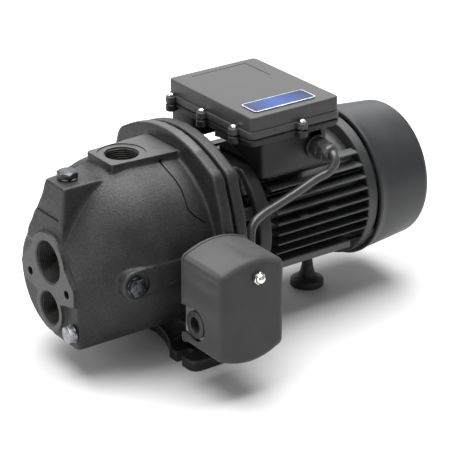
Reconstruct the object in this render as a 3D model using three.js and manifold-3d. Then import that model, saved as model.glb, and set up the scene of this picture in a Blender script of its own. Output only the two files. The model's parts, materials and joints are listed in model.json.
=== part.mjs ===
// Cast iron jet pump: a wet end with two ports on its face, closed by a motor
// bracket, and driven by a fan-cooled motor with a terminal box on its back and
// a pressure switch on its side.
// Working axes: X runs along the shaft from the pump face to the fan, Y runs
// across, Z is up. The working zero is the shaft axis at the pump face; the last
// group moves it to the underside of the foot. Millimetres.
import * as THREE from 'three';
import { mergeVertices } from 'three/addons/utils/BufferGeometryUtils.js';
import Module from 'manifold-3d';

const wasm = await Module();
wasm.setup();

// ---------------------------------------------------------------- dimensions
const SHAFT_HEIGHT = 110;      // shaft axis above the ground
const FOOT_X = 140;            // foot datum, back from the pump face
const GAP = 0.35;              // clearance left between touching pieces
const WELD = 0.004;            // points closer than this are one point

const FACE_X = 4;              // recessed front face, behind the port pad
const DOME_END_X = 84;         // where the dome reaches the barrel
const BARREL_R = 88;
const WALL = 7.5;
const PORT_SPACING = 48;       // upper to lower port
const UPPER_PORT_R = 21;       // 1-1/4 inch pipe thread
const LOWER_PORT_R = 16.6;     // 1 inch pipe thread
const RIDGE_HALF = 21.5;
const RIDGE_TOP = 80;
const OUTLET_X = 85.2;
const OUTLET_TOP = 91.6;
const PRIMING_X = 25;
const SIDE_PAD = { x: 46, y: 82.5, z: -4, r: 15.5 };
const DRAIN = { y: -38, z: -60 };
const FLANGE = { x0: 133, x1: 145 };
const BRACKET_FLANGE = { x0: 149, x1: 161 };
const RING = { x0: 191, x1: 205, r: 79, flat: 64 };
const STATOR = { x0: RING.x1 + GAP, x1: 330, coreR: 62, finR: 76 };
const FIN = { pitch: 10.7, z0: -1.6, thick: 2.2, x0: 216, x1: 329 };
const SHIELD = { x0: STATOR.x1 + GAP, x1: 342, r: 74 };
const COVER = { x0: 343.5, x1: 414, r0: 76.5, r1: 72, wall: 2.2 };
const TIE_ROD = { y: 59.5, heights: [36, -38.5], r: 2 };
const BOX_PAD_Z = 66;
const TUB = { x0: 205, x1: 286, y0: -60, y1: 20, z0: 55 };
const BAY = { x0: 188, x1: 290, y0: 28, y1: 68, z0: 74 };
const BOX_WALL = 3;
const RIM = { x0: 184.5, x1: 294, half: 71, deck: 94.5, z0: 98, z1: 101.6 };
const LID = { x0: 186.3, x1: 292.2, half: 69.4, z0: 103.2, rimTop: 110, z1: 124.7 };
const LUG_Y = [-47, 6, 59];
const LUG_X = 244;
const SWITCH = { x: 118.5, half: 36.5, y0: -104.5, y1: -167, low: -63, high: 25, sag: 10 };
const STUD = { x: 122, z: 16 };
const BUSHING = { y: -124, z: -39, r: 13.5, hole: 7.5 };
const GLAND = { x: 271, z: 74.5, r: 10 };
const LEAD_R = 4;
const REAR_FOOT_X = 311;

// ------------------------------------------------------------ solid modelling
// Six times the volume that an indexed mesh encloses, negative when inside out.
function signedVolume(positions, index) {
  const corner = (i) => new THREE.Vector3().fromArray(positions, 3 * index[i]);
  let total = 0;
  for (let i = 0; i < index.length; i += 3) {
    total += corner(i).dot(corner(i + 1).cross(corner(i + 2)));
  }
  return total;
}

function solid(geometry) {
  const bare = geometry.index ? geometry.toNonIndexed() : geometry.clone();
  bare.deleteAttribute('normal');
  bare.deleteAttribute('uv');
  const merged = mergeVertices(bare, 1e-4);
  const positions = new Float32Array(merged.attributes.position.array);
  const index = new Uint32Array(merged.index.array);
  if (signedVolume(positions, index) < 0) {
    index.reverse();
  }
  return new wasm.Manifold(new wasm.Mesh({ numProp: 3, vertProperties: positions, triVerts: index }));
}

function union(...pieces) {
  return pieces.reduce((whole, piece) => whole.add(piece));
}

function cut(body, ...tools) {
  return tools.reduce((whole, tool) => whole.subtract(tool), body);
}

// The finished mesh, with the slivers that a cut can leave welded shut.
function toGeometry(body) {
  const mesh = body.getMesh();
  const raw = new THREE.BufferGeometry();
  raw.setAttribute('position', new THREE.BufferAttribute(new Float32Array(mesh.vertProperties), 3));
  raw.setIndex(new THREE.BufferAttribute(new Uint32Array(mesh.triVerts), 1));
  const geometry = mergeVertices(raw, WELD);
  const index = geometry.index.array;
  const kept = [];
  for (let i = 0; i < index.length; i += 3) {
    const [a, b, c] = [index[i], index[i + 1], index[i + 2]];
    if (a !== b && b !== c && c !== a) {
      kept.push(a, b, c);
    }
  }
  geometry.setIndex(kept);
  return geometry;
}

function block(x0, x1, y0, y1, z0, z1) {
  const geometry = new THREE.BoxGeometry(x1 - x0, y1 - y0, z1 - z0);
  geometry.translate((x0 + x1) / 2, (y0 + y1) / 2, (z0 + z1) / 2);
  return solid(geometry);
}

// Flats that stand for a circle: more of them on a larger one.
function sidesFor(radius) {
  return 2 * Math.round(4 + 0.12 * radius);
}

// Round bar or prism between two stations along one axis. The other two
// coordinates of its centre line are a and b, in X, Y, Z order.
function bar(axis, from, to, radius, a, b, { sides = sidesFor(radius), radiusTo = radius } = {}) {
  const geometry = new THREE.CylinderGeometry(radiusTo, radius, to - from, sides);
  const middle = (from + to) / 2;
  if (axis === 'x') {
    geometry.rotateZ(-Math.PI / 2);
    geometry.translate(middle, a, b);
  } else if (axis === 'y') {
    geometry.translate(a, middle, b);
  } else {
    geometry.rotateX(Math.PI / 2);
    geometry.translate(a, b, middle);
  }
  return solid(geometry);
}

function hexBar(axis, from, to, radius, a, b) {
  return bar(axis, from, to, radius, a, b, { sides: 6 });
}

// A profile of [x, radius] points, turned round the shaft axis.
function turned(profile) {
  const points = profile.map(([x, r]) => new THREE.Vector2(r, x));
  const widest = Math.max(...profile.map(([, r]) => r));
  const geometry = new THREE.LatheGeometry(points, sidesFor(widest));
  geometry.rotateZ(-Math.PI / 2);
  return solid(geometry);
}

function turnedRing(profile) {
  return turned([...profile, profile[0]]);
}

// A plate cut from an outline in Y and Z, standing between two X stations.
function plate(shape, x0, x1, curveSegments = 6) {
  const geometry = new THREE.ExtrudeGeometry(shape, { depth: x1 - x0, bevelEnabled: false, curveSegments });
  geometry.applyMatrix4(new THREE.Matrix4().set(0, 0, 1, x0, 1, 0, 0, 0, 0, 1, 0, 0, 0, 0, 0, 1));
  return solid(geometry);
}

// A slab cut from an outline in X and Y, lying between two heights.
function slab(shape, z0, z1, curveSegments = 3) {
  const geometry = new THREE.ExtrudeGeometry(shape, { depth: z1 - z0, bevelEnabled: false, curveSegments });
  geometry.translate(0, 0, z0);
  return solid(geometry);
}

// A closed skin over equal rings of points, with flat ends.
function loft(rings) {
  const count = rings[0].length;
  const last = (rings.length - 1) * count;
  const positions = rings.flat().flatMap((point) => [point.x, point.y, point.z]);
  const index = [];
  for (let ring = 0; ring < rings.length - 1; ring += 1) {
    for (let i = 0; i < count; i += 1) {
      const a = ring * count + i;
      const b = ring * count + (i + 1) % count;
      index.push(a, b + count, b, a, a + count, b + count);
    }
  }
  const ends = [rings[0], rings[rings.length - 1]].map((ring) => {
    const centre = new THREE.Vector3();
    ring.forEach((point) => centre.add(point));
    return centre.divideScalar(count);
  });
  ends.forEach((centre) => positions.push(centre.x, centre.y, centre.z));
  const firstCentre = last + count;
  for (let i = 0; i < count; i += 1) {
    const next = (i + 1) % count;
    index.push(firstCentre, i, next);
    index.push(firstCentre + 1, last + next, last + i);
  }
  const geometry = new THREE.BufferGeometry();
  geometry.setAttribute('position', new THREE.Float32BufferAttribute(positions, 3));
  geometry.setIndex(index);
  return solid(geometry);
}

function roundedRectangle(x0, x1, y0, y1, radius) {
  const shape = new THREE.Shape();
  shape.moveTo(x0 + radius, y0);
  shape.lineTo(x1 - radius, y0);
  shape.absarc(x1 - radius, y0 + radius, radius, -Math.PI / 2, 0, false);
  shape.lineTo(x1, y1 - radius);
  shape.absarc(x1 - radius, y1 - radius, radius, 0, Math.PI / 2, false);
  shape.lineTo(x0 + radius, y1);
  shape.absarc(x0 + radius, y1 - radius, radius, Math.PI / 2, Math.PI, false);
  shape.lineTo(x0, y0 + radius);
  shape.absarc(x0 + radius, y0 + radius, radius, Math.PI, 1.5 * Math.PI, false);
  return shape;
}

// ---------------------------------------------------------------- the assembly
const shaftFrame = new THREE.Group();
shaftFrame.position.set(-FOOT_X, 0, SHAFT_HEIGHT);

const FINISH = {
  casting: { color: 0x3b3b3c, roughness: 0.75, metalness: 0.2 },
  lidPaint: { color: 0x7d7e80, roughness: 0.45, metalness: 0.1 },
  coverPaint: { color: 0x55585c, roughness: 0.4, metalness: 0.3 },
  switchPlastic: { color: 0x56585b, roughness: 0.5, metalness: 0 },
  rubber: { color: 0x161616, roughness: 0.85, metalness: 0 },
  blackPlastic: { color: 0x1c1c1e, roughness: 0.5, metalness: 0 },
  innerPlastic: { color: 0x26282c, roughness: 0.55, metalness: 0 },
  paper: { color: 0x6d6a62, roughness: 0.9, metalness: 0 },
  nickel: { color: 0xcfd0d2, roughness: 0.25, metalness: 1 },
  steel: { color: 0x9a9c9f, roughness: 0.4, metalness: 1 },
  zinc: { color: 0xa9acae, roughness: 0.45, metalness: 1 },
  brass: { color: 0xb79a5b, roughness: 0.35, metalness: 1 },
  copper: { color: 0xa9623a, roughness: 0.4, metalness: 1 },
  badge: { color: 0x1f4a8c, roughness: 0.35, metalness: 0 },
};

function addPiece(name, body, finish) {
  const mesh = new THREE.Mesh(toGeometry(body), new THREE.MeshStandardMaterial(FINISH[finish]));
  mesh.name = name;
  shaftFrame.add(mesh);
}

// --------------------------------------------------------- the bolted flanges
// A square with bulged sides: shallow arcs above and beside, flatter below.
function flangeOutline(grow = 0) {
  const shape = new THREE.Shape();
  const side = 84 + grow;
  const top = 82 + grow;
  const low = -76 - grow;
  const corner = 8;
  shape.moveTo(side - corner - 3, top + 3);
  shape.quadraticCurveTo(0, 126 + grow, -side + corner, top + 4);
  shape.quadraticCurveTo(-side - 1, top + 1, -side - 3, top - 12);
  shape.quadraticCurveTo(-118 - grow, 0, -side - 3, low + 12);
  shape.quadraticCurveTo(-side, low, -side + corner, low - 3);
  shape.quadraticCurveTo(0, -106 - grow, side - corner, low - 3);
  shape.quadraticCurveTo(side, low, side + 3, low + 12);
  shape.quadraticCurveTo(118 + grow, 0, side + 1, top - 14);
  shape.quadraticCurveTo(side - 2, top - 1, side - corner - 3, top + 3);
  return shape;
}

const FLANGE_BOLTS = [[-74, 66], [74, 66], [-74, -62], [74, -62]];

// ------------------------------------------------------------------ the casing
// Distance from the shaft axis to the front outline at one angle: a circle
// round the two ports, with a square near corner that holds the drain plug.
function frontRadius(angle) {
  const circle = { y: 4, z: -23, r: 52.5 };
  const corner = { y: 46, z: 77 };
  const across = Math.cos(angle);
  const up = Math.sin(angle);
  const middle = circle.y * across + circle.z * up;
  const round = middle + Math.sqrt(middle * middle + circle.r ** 2 - circle.y ** 2 - circle.z ** 2);
  const wall = across < 0 ? corner.y / -across : Infinity;
  const floor = up < 0 ? corner.z / -up : Infinity;
  const square = across < 0 && up < 0 ? Math.min(wall, floor) : 0;
  return Math.max(Math.min(round, wall), square);
}

// How far the skin has grown from the front outline to the round barrel.
function domeGrowth(x) {
  const along = Math.min(1, Math.max(0, (x - FACE_X) / (DOME_END_X - FACE_X)));
  return 1 - (1 - along) ** 2.4;
}

function casingSkin(stations, inset, sides) {
  return loft(stations.map((x) => {
    const ring = [];
    for (let i = 0; i < sides; i += 1) {
      const angle = (2 * Math.PI * i) / sides;
      const front = frontRadius(angle);
      const radius = front + (BARREL_R - front) * domeGrowth(x) - inset;
      ring.push(new THREE.Vector3(x, radius * Math.cos(angle), radius * Math.sin(angle)));
    }
    return ring;
  }));
}

function makeCasing() {
  const skin = casingSkin([FACE_X, 9, 16, 26, 38, 54, DOME_END_X, FLANGE.x0 + 3], 0, 40);
  // The near side of the ridge is a plain wall; the far side slopes down to the dome.
  const ridgeSection = (lean, farEdge) => [
    [-RIDGE_HALF, 12], [-RIDGE_HALF, RIDGE_TOP], [farEdge, RIDGE_TOP],
    [farEdge + 7, 60], [31, 40], [41, 20], [41, 12],
  ].map(([y, z]) => new THREE.Vector3(lean(z), y, z));
  const ridge = loft([
    ridgeSection((z) => 2 + (z - 12) * 0.09, 12),
    ridgeSection(() => 64, 23),
    ridgeSection(() => FLANGE.x0 + 2, 23),
  ]);

  const boss = new THREE.Shape();
  boss.moveTo(60, -22.3);
  boss.lineTo(FLANGE.x0 + 4, -28);
  boss.lineTo(FLANGE.x0 + 4, 28);
  boss.lineTo(60, 22.3);
  const outletBoss = slab(boss, 60, OUTLET_TOP);

  const sidePad = union(
    block(SIDE_PAD.x, 126, -SIDE_PAD.y, -60, SIDE_PAD.z - SIDE_PAD.r, SIDE_PAD.z + SIDE_PAD.r),
    bar('y', -SIDE_PAD.y, -60, SIDE_PAD.r, SIDE_PAD.x, SIDE_PAD.z),
  );
  const flange = plate(flangeOutline(), FLANGE.x0, FLANGE.x1);

  const upperPad = bar('x', 0, 12, 30, 0, 0);
  const lowerPad = bar('x', 0, 12, 23, 0, -PORT_SPACING);
  const ears = new THREE.Shape();
  ears.moveTo(-29, 4);
  ears.lineTo(-46, -14);
  ears.lineTo(-46, -30);
  ears.lineTo(-23, -36);
  ears.lineTo(23, -36);
  ears.lineTo(46, -32);
  ears.lineTo(50, -14);
  ears.lineTo(29, 8);
  const earPad = plate(ears, 0, 12);

  const outside = union(skin, ridge, outletBoss, sidePad, flange, upperPad, lowerPad, earPad);
  const chamber = casingSkin([16, 28, 44, DOME_END_X, FLANGE.x1 + 1], WALL, 24);
  const suctionTube = bar('x', 6, 66, 27, 0, 0);
  const lowerBoss = bar('x', 6, 30, 21.8, 0, -PORT_SPACING);
  const primingBoss = bar('z', 50, RIDGE_TOP, 14, PRIMING_X, 0);
  const walls = union(cut(outside, chamber), suctionTube, lowerBoss, primingBoss.intersect(outside));

  const boltHoles = FLANGE_BOLTS.map(([y, z]) => bar('x', FLANGE.x0 + 2, FLANGE.x1 + 1, 4.6, y, z));
  return cut(
    walls,
    bar('x', -1, 30, UPPER_PORT_R, 0, 0),
    bar('x', 29, 48, 17, 0, 0),
    bar('x', 47, 67, 22, 0, 0),
    bar('x', -1, 31, LOWER_PORT_R, 0, -PORT_SPACING),
    bar('z', 66, OUTLET_TOP + 1, LOWER_PORT_R, OUTLET_X, 0),
    bar('z', 40, RIDGE_TOP + 1, 7.4, PRIMING_X, 0),
    bar('y', -SIDE_PAD.y - 1, -60, 5.6, SIDE_PAD.x - 2, SIDE_PAD.z),
    bar('x', 3, 30, 5.6, DRAIN.y, DRAIN.z),
    bar('y', -92, -70, 7, SWITCH.x, -20),
    ...[-33, 33].map((y) => bar('x', -1, 11, 4.3, y, -21)),
    ...boltHoles,
  );
}

addPiece('pump_casing', makeCasing(), 'casting');

function makeGasket() {
  const inner = new THREE.Path();
  inner.absarc(0, 0, BARREL_R - WALL, 0, 2 * Math.PI, true);
  const outline = flangeOutline(-3);
  outline.holes.push(inner);
  const sheet = plate(outline, FLANGE.x1 + GAP, BRACKET_FLANGE.x0 - GAP);
  return cut(sheet, ...FLANGE_BOLTS.map(([y, z]) => bar('x', 144, 150, 4.4, y, z)));
}

addPiece('casing_gasket', makeGasket(), 'paper');

// Hex plug: a threaded stub that runs in its hole, a round collar and a hex head.
function hexPlug(axis, seat, out, threadR, headR, headLength, a, b) {
  const threadEnd = seat - out * 14;
  const collarEnd = seat + out * 2;
  const headEnd = collarEnd + out * headLength;
  const span = (p, q) => [Math.min(p, q), Math.max(p, q)];
  return union(
    bar(axis, ...span(threadEnd, collarEnd), threadR, a, b),
    bar(axis, ...span(seat + out * GAP, collarEnd), headR * 0.92, a, b),
    hexBar(axis, ...span(collarEnd, headEnd), headR, a, b),
  );
}

addPiece('priming_plug', hexPlug('z', RIDGE_TOP, 1, 6.9, 10.5, 6, PRIMING_X, 0), 'steel');
addPiece('drain_plug', hexPlug('x', FACE_X, -1, 5.1, 9.6, 7, DRAIN.y, DRAIN.z), 'nickel');
addPiece('side_plug', hexPlug('y', -SIDE_PAD.y, -1, 5.1, 9, 6, SIDE_PAD.x - 2, SIDE_PAD.z), 'steel');

// ---------------------------------------------------- inside the pump chamber
// The diffuser is a moulded bowl behind the suction tube; the impeller turns in it.
const diffuser = turnedRing([
  [50, 16], [50, 20], [100, 22], [106, 68], [136, 72], [136, 68.5], [110, 64.5], [107, 20], [100, 16],
]);
addPiece('diffuser', diffuser, 'innerPlastic');

const impellerDisc = turnedRing([
  [112, 17.6], [112, 20.5], [114, 58], [116.4, 58], [118, 24], [122, 24], [122.6, 58], [125, 58], [126, 24],
  [128, 15], [128, 9.4], [120, 9.4], [120, 12],
]);
const vanes = [];
const VANE_COUNT = 6;
for (let i = 0; i < VANE_COUNT; i += 1) {
  const vane = new THREE.BoxGeometry(8, 3, 34);
  vane.rotateX(0.5);
  vane.translate(119.5, 8, 38);
  vane.rotateX((2 * Math.PI * i) / VANE_COUNT);
  vanes.push(solid(vane));
}
addPiece('impeller', union(impellerDisc, ...vanes), 'innerPlastic');
addPiece('impeller_nut', cut(hexBar('x', 108, 119.6, 8.4, 0, 0), bar('x', 107, 120, 5.3, 0, 0)), 'brass');

addPiece('seal_head', turnedRing([[129, 9.4], [129, 15], [141, 15], [141, 9.4]]), 'rubber');
addPiece('seal_seat', turnedRing([[141.4, 10.2], [141.4, 16], [152, 16], [152, 10.2]]), 'paper');

// ------------------------------------------------------------ the motor bracket
// One bar at each tie rod's place, for the rods' holes and pockets.
function rodBars(from, to, radius) {
  const rodAt = (side, z) => bar('x', from, to, radius, side * TIE_ROD.y, z);
  return [-1, 1].flatMap((side) => TIE_ROD.heights.map((z) => rodAt(side, z)));
}

function makeFoot() {
  const half = 93;
  const outline = new THREE.Shape();
  outline.moveTo(BRACKET_FLANGE.x1, -half);
  outline.lineTo(BRACKET_FLANGE.x1, half);
  outline.lineTo(112, half);
  outline.quadraticCurveTo(102, half, 102, half - 10);
  outline.lineTo(102, 52);
  outline.quadraticCurveTo(118, 30, 120, 0);
  outline.quadraticCurveTo(118, -30, 102, -52);
  outline.lineTo(102, -half + 10);
  outline.quadraticCurveTo(102, -half, 112, -half);
  const base = slab(outline, -SHAFT_HEIGHT, -SHAFT_HEIGHT + 11);
  const slots = [-69, 69].map((y) => union(
    block(100, 113, y - 4.6, y + 4.6, -SHAFT_HEIGHT - 1, -96),
    bar('z', -SHAFT_HEIGHT - 1, -96, 4.6, 113, y),
  ));
  return cut(base, ...slots);
}

function makeBracket() {
  const { x0, x1 } = BRACKET_FLANGE;
  const flange = plate(flangeOutline(-1), x0, x1);
  const neck = turned([[x0 + 2, 0], [x0 + 2, 82], [x1 + 2, 79], [RING.x0 + 2, 70], [RING.x0 + 2, 0]]);
  const ring = cut(
    bar('x', RING.x0, RING.x1, RING.r, 0, 0),
    block(RING.x0 - 1, RING.x1 + 1, -50, 50, RING.flat, 90),
  );
  const webs = [-62, 62].map((y) => block(x0, x1, y - 12, y + 12, -104, -60));
  const foot = makeFoot();
  const body = union(flange, neck, ring, foot, ...webs);
  const hollow = turned([
    [x1, 0], [x1, 71], [RING.x0 - 2, 62], [RING.x0 - 2, 56], [RING.x1 + 1, 56], [RING.x1 + 1, 0],
  ]);
  const bearingHub = turned([[x1 - 2, 0], [x1 - 2, 27], [RING.x0, 27], [RING.x0, 0]]);
  const webPlate = bar('x', RING.x0 - 3, RING.x0, 60, 0, 0);
  const windows = [];
  for (const side of [-1, 1]) {
    const [near, far] = side < 0 ? [-95, -50] : [50, 95];
    windows.push(block(167, 187, near, far, -30, 20), block(169, 187, near, far, 32, 54));
  }
  const shell = cut(body, hollow, ...windows);
  const dressed = union(shell, bearingHub, webPlate);
  return cut(
    dressed,
    bar('x', x0 - 1, 152.4, 16.4, 0, 0),
    bar('x', 140, RING.x1 + 1, 11, 0, 0),
    bar('x', 172, RING.x0 + 1, 20.4, 0, 0),
    ...FLANGE_BOLTS.map(([y, z]) => bar('x', x0 - 1, x1 + 1, 4.4, y, z)),
    ...rodBars(RING.x0 - 1, RING.x1 + 1, TIE_ROD.r + 0.4),
    ...rodBars(RING.x0 - 14, RING.x0, 6.4),
  );
}

addPiece('motor_bracket', makeBracket(), 'casting');

// Casing bolt: hex head behind the bracket, shank screwed into the casing flange.
FLANGE_BOLTS.forEach(([y, z], i) => {
  const bolt = union(
    hexBar('x', BRACKET_FLANGE.x1 + GAP, BRACKET_FLANGE.x1 + 7, 7, y, z),
    bar('x', FLANGE.x0 + 4, BRACKET_FLANGE.x1 + 1, 4, y, z),
  );
  addPiece(`casing_bolt_${i + 1}`, bolt, 'steel');
});

// ------------------------------------------------------------------- the motor
function makeStatorFrame() {
  const parts = [bar('x', STATOR.x0, STATOR.x1, STATOR.coreR, 0, 0)];
  for (let level = -2; level <= 5; level += 1) {
    const z = FIN.z0 + level * FIN.pitch;
    const reach = Math.sqrt(STATOR.finR ** 2 - z * z);
    parts.push(block(FIN.x0, FIN.x1, -reach, reach, z - FIN.thick / 2, z + FIN.thick / 2));
  }
  parts.push(block(FIN.x0, 312, -68, 68, -42.5, -34.5));
  parts.push(block(FIN.x0, 312, -9, 9, -72, -50));
  parts.push(block(208, 280, -34, 16, 40, BOX_PAD_Z));
  const bore = bar('x', STATOR.x0 - 1, STATOR.x1 + 1, 57, 0, 0);
  const rodHoles = rodBars(200, 335, TIE_ROD.r + 0.4);
  const leadHole = bar('z', 50, 70, 7, 243, -9);
  const footHole = bar('z', -75, -50, 4.6, REAR_FOOT_X, 0);
  return cut(union(...parts), bore, leadHole, footHole, ...rodHoles);
}

addPiece('stator_frame', makeStatorFrame(), 'casting');
addPiece('stator_core', turnedRing([[225, 38], [225, 56.5], [305, 56.5], [305, 38]]), 'steel');
addPiece('stator_winding_front', turnedRing([[209, 40], [209, 54], [224.5, 54], [224.5, 40]]), 'copper');
addPiece('stator_winding_rear', turnedRing([[305.5, 40], [305.5, 54], [321, 54], [321, 40]]), 'copper');

function makeEndShield() {
  const body = turnedRing([
    [SHIELD.x0, 58], [SHIELD.x0, SHIELD.r], [SHIELD.x1, SHIELD.r], [SHIELD.x1 + 7, 66], [SHIELD.x1 + 7, 12],
    [SHIELD.x0 + 6, 12], [SHIELD.x0 + 6, 20.4], [SHIELD.x0 - 8, 20.4], [SHIELD.x0 - 8, 27],
    [SHIELD.x0 + 3, 27], [SHIELD.x0 + 3, 58],
  ]);
  const holes = rodBars(SHIELD.x0 - 2, SHIELD.x1 + 9, TIE_ROD.r + 0.4);
  return cut(body, ...holes);
}

addPiece('end_shield', makeEndShield(), 'casting');

let rodNumber = 0;
for (const side of [-1, 1]) {
  for (const z of TIE_ROD.heights) {
    rodNumber += 1;
    const rod = union(
      bar('x', RING.x0 - 1, SHIELD.x1 + 1, TIE_ROD.r, side * TIE_ROD.y, z),
      hexBar('x', RING.x0 - 5, RING.x0 - GAP, 4.2, side * TIE_ROD.y, z),
    );
    addPiece(`tie_rod_${rodNumber}`, rod, 'steel');
  }
}

// --------------------------------------------------------- the spinning pieces
addPiece('shaft', turned([
  [106, 0], [106, 5], [119.8, 5], [119.8, 9], [173, 9], [173, 10], [322, 10], [322, 9], [399, 9], [399, 0],
]), 'steel');
addPiece('rotor_core', turnedRing([[222, 10.3], [222, 37.2], [308, 37.2], [308, 10.3]]), 'steel');
addPiece('front_bearing_inner', turnedRing([[174, 10.8], [174, 14.4], [187, 14.4], [187, 10.8]]), 'steel');
addPiece('front_bearing_outer', turnedRing([[174, 15.8], [174, 19.8], [187, 19.8], [187, 15.8]]), 'steel');
const rearInnerRing = turnedRing([[323.5, 9.8], [323.5, 14.4], [335.5, 14.4], [335.5, 9.8]]);
addPiece('rear_bearing_inner', rearInnerRing, 'steel');
const rearOuterRing = turnedRing([[323.5, 15.8], [323.5, 19.8], [335.5, 19.8], [335.5, 15.8]]);
addPiece('rear_bearing_outer', rearOuterRing, 'steel');

const fanHub = turnedRing([[366, 9.8], [366, 18], [390, 18], [390, 9.8]]);
const fanDisc = turnedRing([[366, 17], [366, 62], [368.5, 62], [368.5, 17]]);
const blades = [];
const BLADE_COUNT = 8;
for (let i = 0; i < BLADE_COUNT; i += 1) {
  const blade = new THREE.BoxGeometry(24, 2.4, 46);
  blade.translate(380, 0, 39);
  blade.rotateX((2 * Math.PI * (i + 0.5)) / BLADE_COUNT);
  blades.push(solid(blade));
}
addPiece('cooling_fan', union(fanHub, fanDisc, ...blades), 'innerPlastic');

// --------------------------------------------------------------- the fan cover
function makeFanCover() {
  const { x0, x1, r0, r1, wall } = COVER;
  const shell = turnedRing([
    [x0, r0 - wall], [x0, r0 + 1.2], [x0 + 3, r0 + 1.2], [x0 + 4, r0],
    [x1 - 7, r1], [x1 - 2, r1 - 2.5], [x1, r1 - 8],
    [x1, 10], [x1 - wall, 10], [x1 - wall, r1 - 10], [x1 - 8, r1 - wall], [x0 + 4, r0 - wall],
  ]);
  const slots = [];
  const rows = [[24, 4], [39, 6], [54, 8]];
  for (const [radius, count] of rows) {
    const arc = (2 * Math.PI) / count;
    for (let i = 0; i < count; i += 1) {
      const slot = new THREE.Shape();
      slot.absarc(0, 0, radius + 4.5, i * arc + 0.12, (i + 1) * arc - 0.12, false);
      slot.absarc(0, 0, radius - 4.5, (i + 1) * arc - 0.12, i * arc + 0.12, true);
      slots.push(plate(slot, x1 - 6, x1 + 2, 2));
    }
  }
  return cut(shell, ...slots);
}

addPiece('fan_cover', makeFanCover(), 'coverPaint');

// The rubber rear foot: a disc on a tapered stem, screwed up into the frame.
const rearFoot = turned([
  [-SHAFT_HEIGHT, 0], [-SHAFT_HEIGHT, 17.5], [-103, 17.5], [-100, 15], [-98, 9.5], [-84, 5.5],
  [-72.4, 5.5], [-72.4, 3.9], [-58, 3.9], [-58, 0],
]).rotate([0, -90, 0]).translate([REAR_FOOT_X, 0, 0]);
addPiece('rear_foot', rearFoot, 'rubber');

// ------------------------------------------------------------ the terminal box
// Screw lugs stand on the rim: three on each end and one on each side.
const LUGS = [
  ...LUG_Y.map((y) => [RIM.x0 - 2.3, y]),
  ...LUG_Y.map((y) => [RIM.x1 + 2.3, y]),
  [LUG_X, -RIM.half - 2.4],
  [LUG_X, RIM.half + 2.4],
];

function rimBand(z0, z1) {
  const band = slab(roundedRectangle(RIM.x0, RIM.x1, -RIM.half, RIM.half, 7), z0, z1);
  return union(band, ...LUGS.map(([x, y]) => bar('z', z0, z1, 5.5, x, y)));
}

function footprint({ x0, x1, y0, y1 }, inset, radius) {
  return roundedRectangle(x0 + inset, x1 - inset, y0 + inset, y1 - inset, radius);
}

function makeTerminalBox() {
  const deckArea = { x0: BAY.x0, x1: BAY.x1, y0: -67, y1: 68 };
  const tub = slab(footprint(TUB, 0, 5), TUB.z0, RIM.deck + 1);
  const bay = slab(footprint(BAY, 0, 4), BAY.z0, RIM.deck + 1);
  const deck = slab(footprint(deckArea, 0, 6), RIM.deck, RIM.z0 + 1);
  const tubHollow = slab(footprint(TUB, BOX_WALL, 3), 80, RIM.z1 + 1);
  const bayHollow = slab(footprint(BAY, BOX_WALL, 3), BAY.z0 + 4, RIM.z1 + 1);
  const rimHollow = slab(footprint(deckArea, 2.5, 5), RIM.z0, RIM.z1 + 1);
  return cut(
    union(tub, bay, deck, rimBand(RIM.z0, RIM.z1)),
    tubHollow,
    bayHollow,
    rimHollow,
    bar('x', TUB.x0 - 1, TUB.x1 + 1, STATOR.finR + 1, 0, 0, { sides: 48 }),
    bar('z', 60, 82, 7, 243, -9),
    bar('y', TUB.y0 - 1, TUB.y0 + 6, 7.4, GLAND.x, 86),
    ...LUGS.map(([x, y]) => bar('z', RIM.deck - 4, RIM.z1 + 1, 2.1, x, y)),
  );
}

addPiece('terminal_box', makeTerminalBox(), 'lidPaint');

function makeBoxGasket() {
  const area = { x0: RIM.x0, x1: RIM.x1, y0: -RIM.half, y1: RIM.half };
  const outer = slab(footprint(area, 1.5, 6), RIM.z1 + 0.2, LID.z0 - 0.2);
  const inner = slab(footprint(area, 6, 5), RIM.z1 - 1, LID.z0 + 1);
  return cut(outer, inner, ...LUGS.map(([x, y]) => bar('z', RIM.z1 - 1, LID.z0 + 1, 6.4, x, y)));
}

addPiece('terminal_box_gasket', makeBoxGasket(), 'rubber');

function makeLid() {
  const band = rimBand(LID.z0, LID.rimTop);
  const top = slab(roundedRectangle(LID.x0, LID.x1, -LID.half, LID.half, 5), LID.rimTop - 1, LID.z1);
  const hollowShape = roundedRectangle(LID.x0 + 3, LID.x1 - 3, -LID.half + 3, LID.half - 3, 4);
  const hollow = slab(hollowShape, LID.z0 - 1, LID.z1 - 3);
  return cut(union(band, top), hollow, ...LUGS.map(([x, y]) => bar('z', LID.z0 - 1, LID.z1 + 1, 2.1, x, y)));
}

addPiece('terminal_box_lid', makeLid(), 'lidPaint');

LUGS.forEach(([x, y], i) => {
  const screw = union(
    bar('z', LID.rimTop + GAP, LID.rimTop + 2, 3.6, x, y),
    bar('z', LID.rimTop + 2, LID.rimTop + 3.4, 3.6, x, y, { radiusTo: 1.8 }),
    bar('z', RIM.z0 - 1, LID.rimTop + 1, 1.75, x, y),
  );
  addPiece(`lid_screw_${i + 1}`, screw, 'nickel');
});

const badge = slab(roundedRectangle(198, 272, -60, -35, 4), LID.z1 + GAP, LID.z1 + 1.2);
addPiece('lid_badge', badge, 'badge');

addPiece('run_capacitor', bar('x', 200, 270, 12, 48, 91), 'blackPlastic');
addPiece('terminal_block', block(222, 262, -46, -20, 81, 96), 'innerPlastic');

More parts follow.
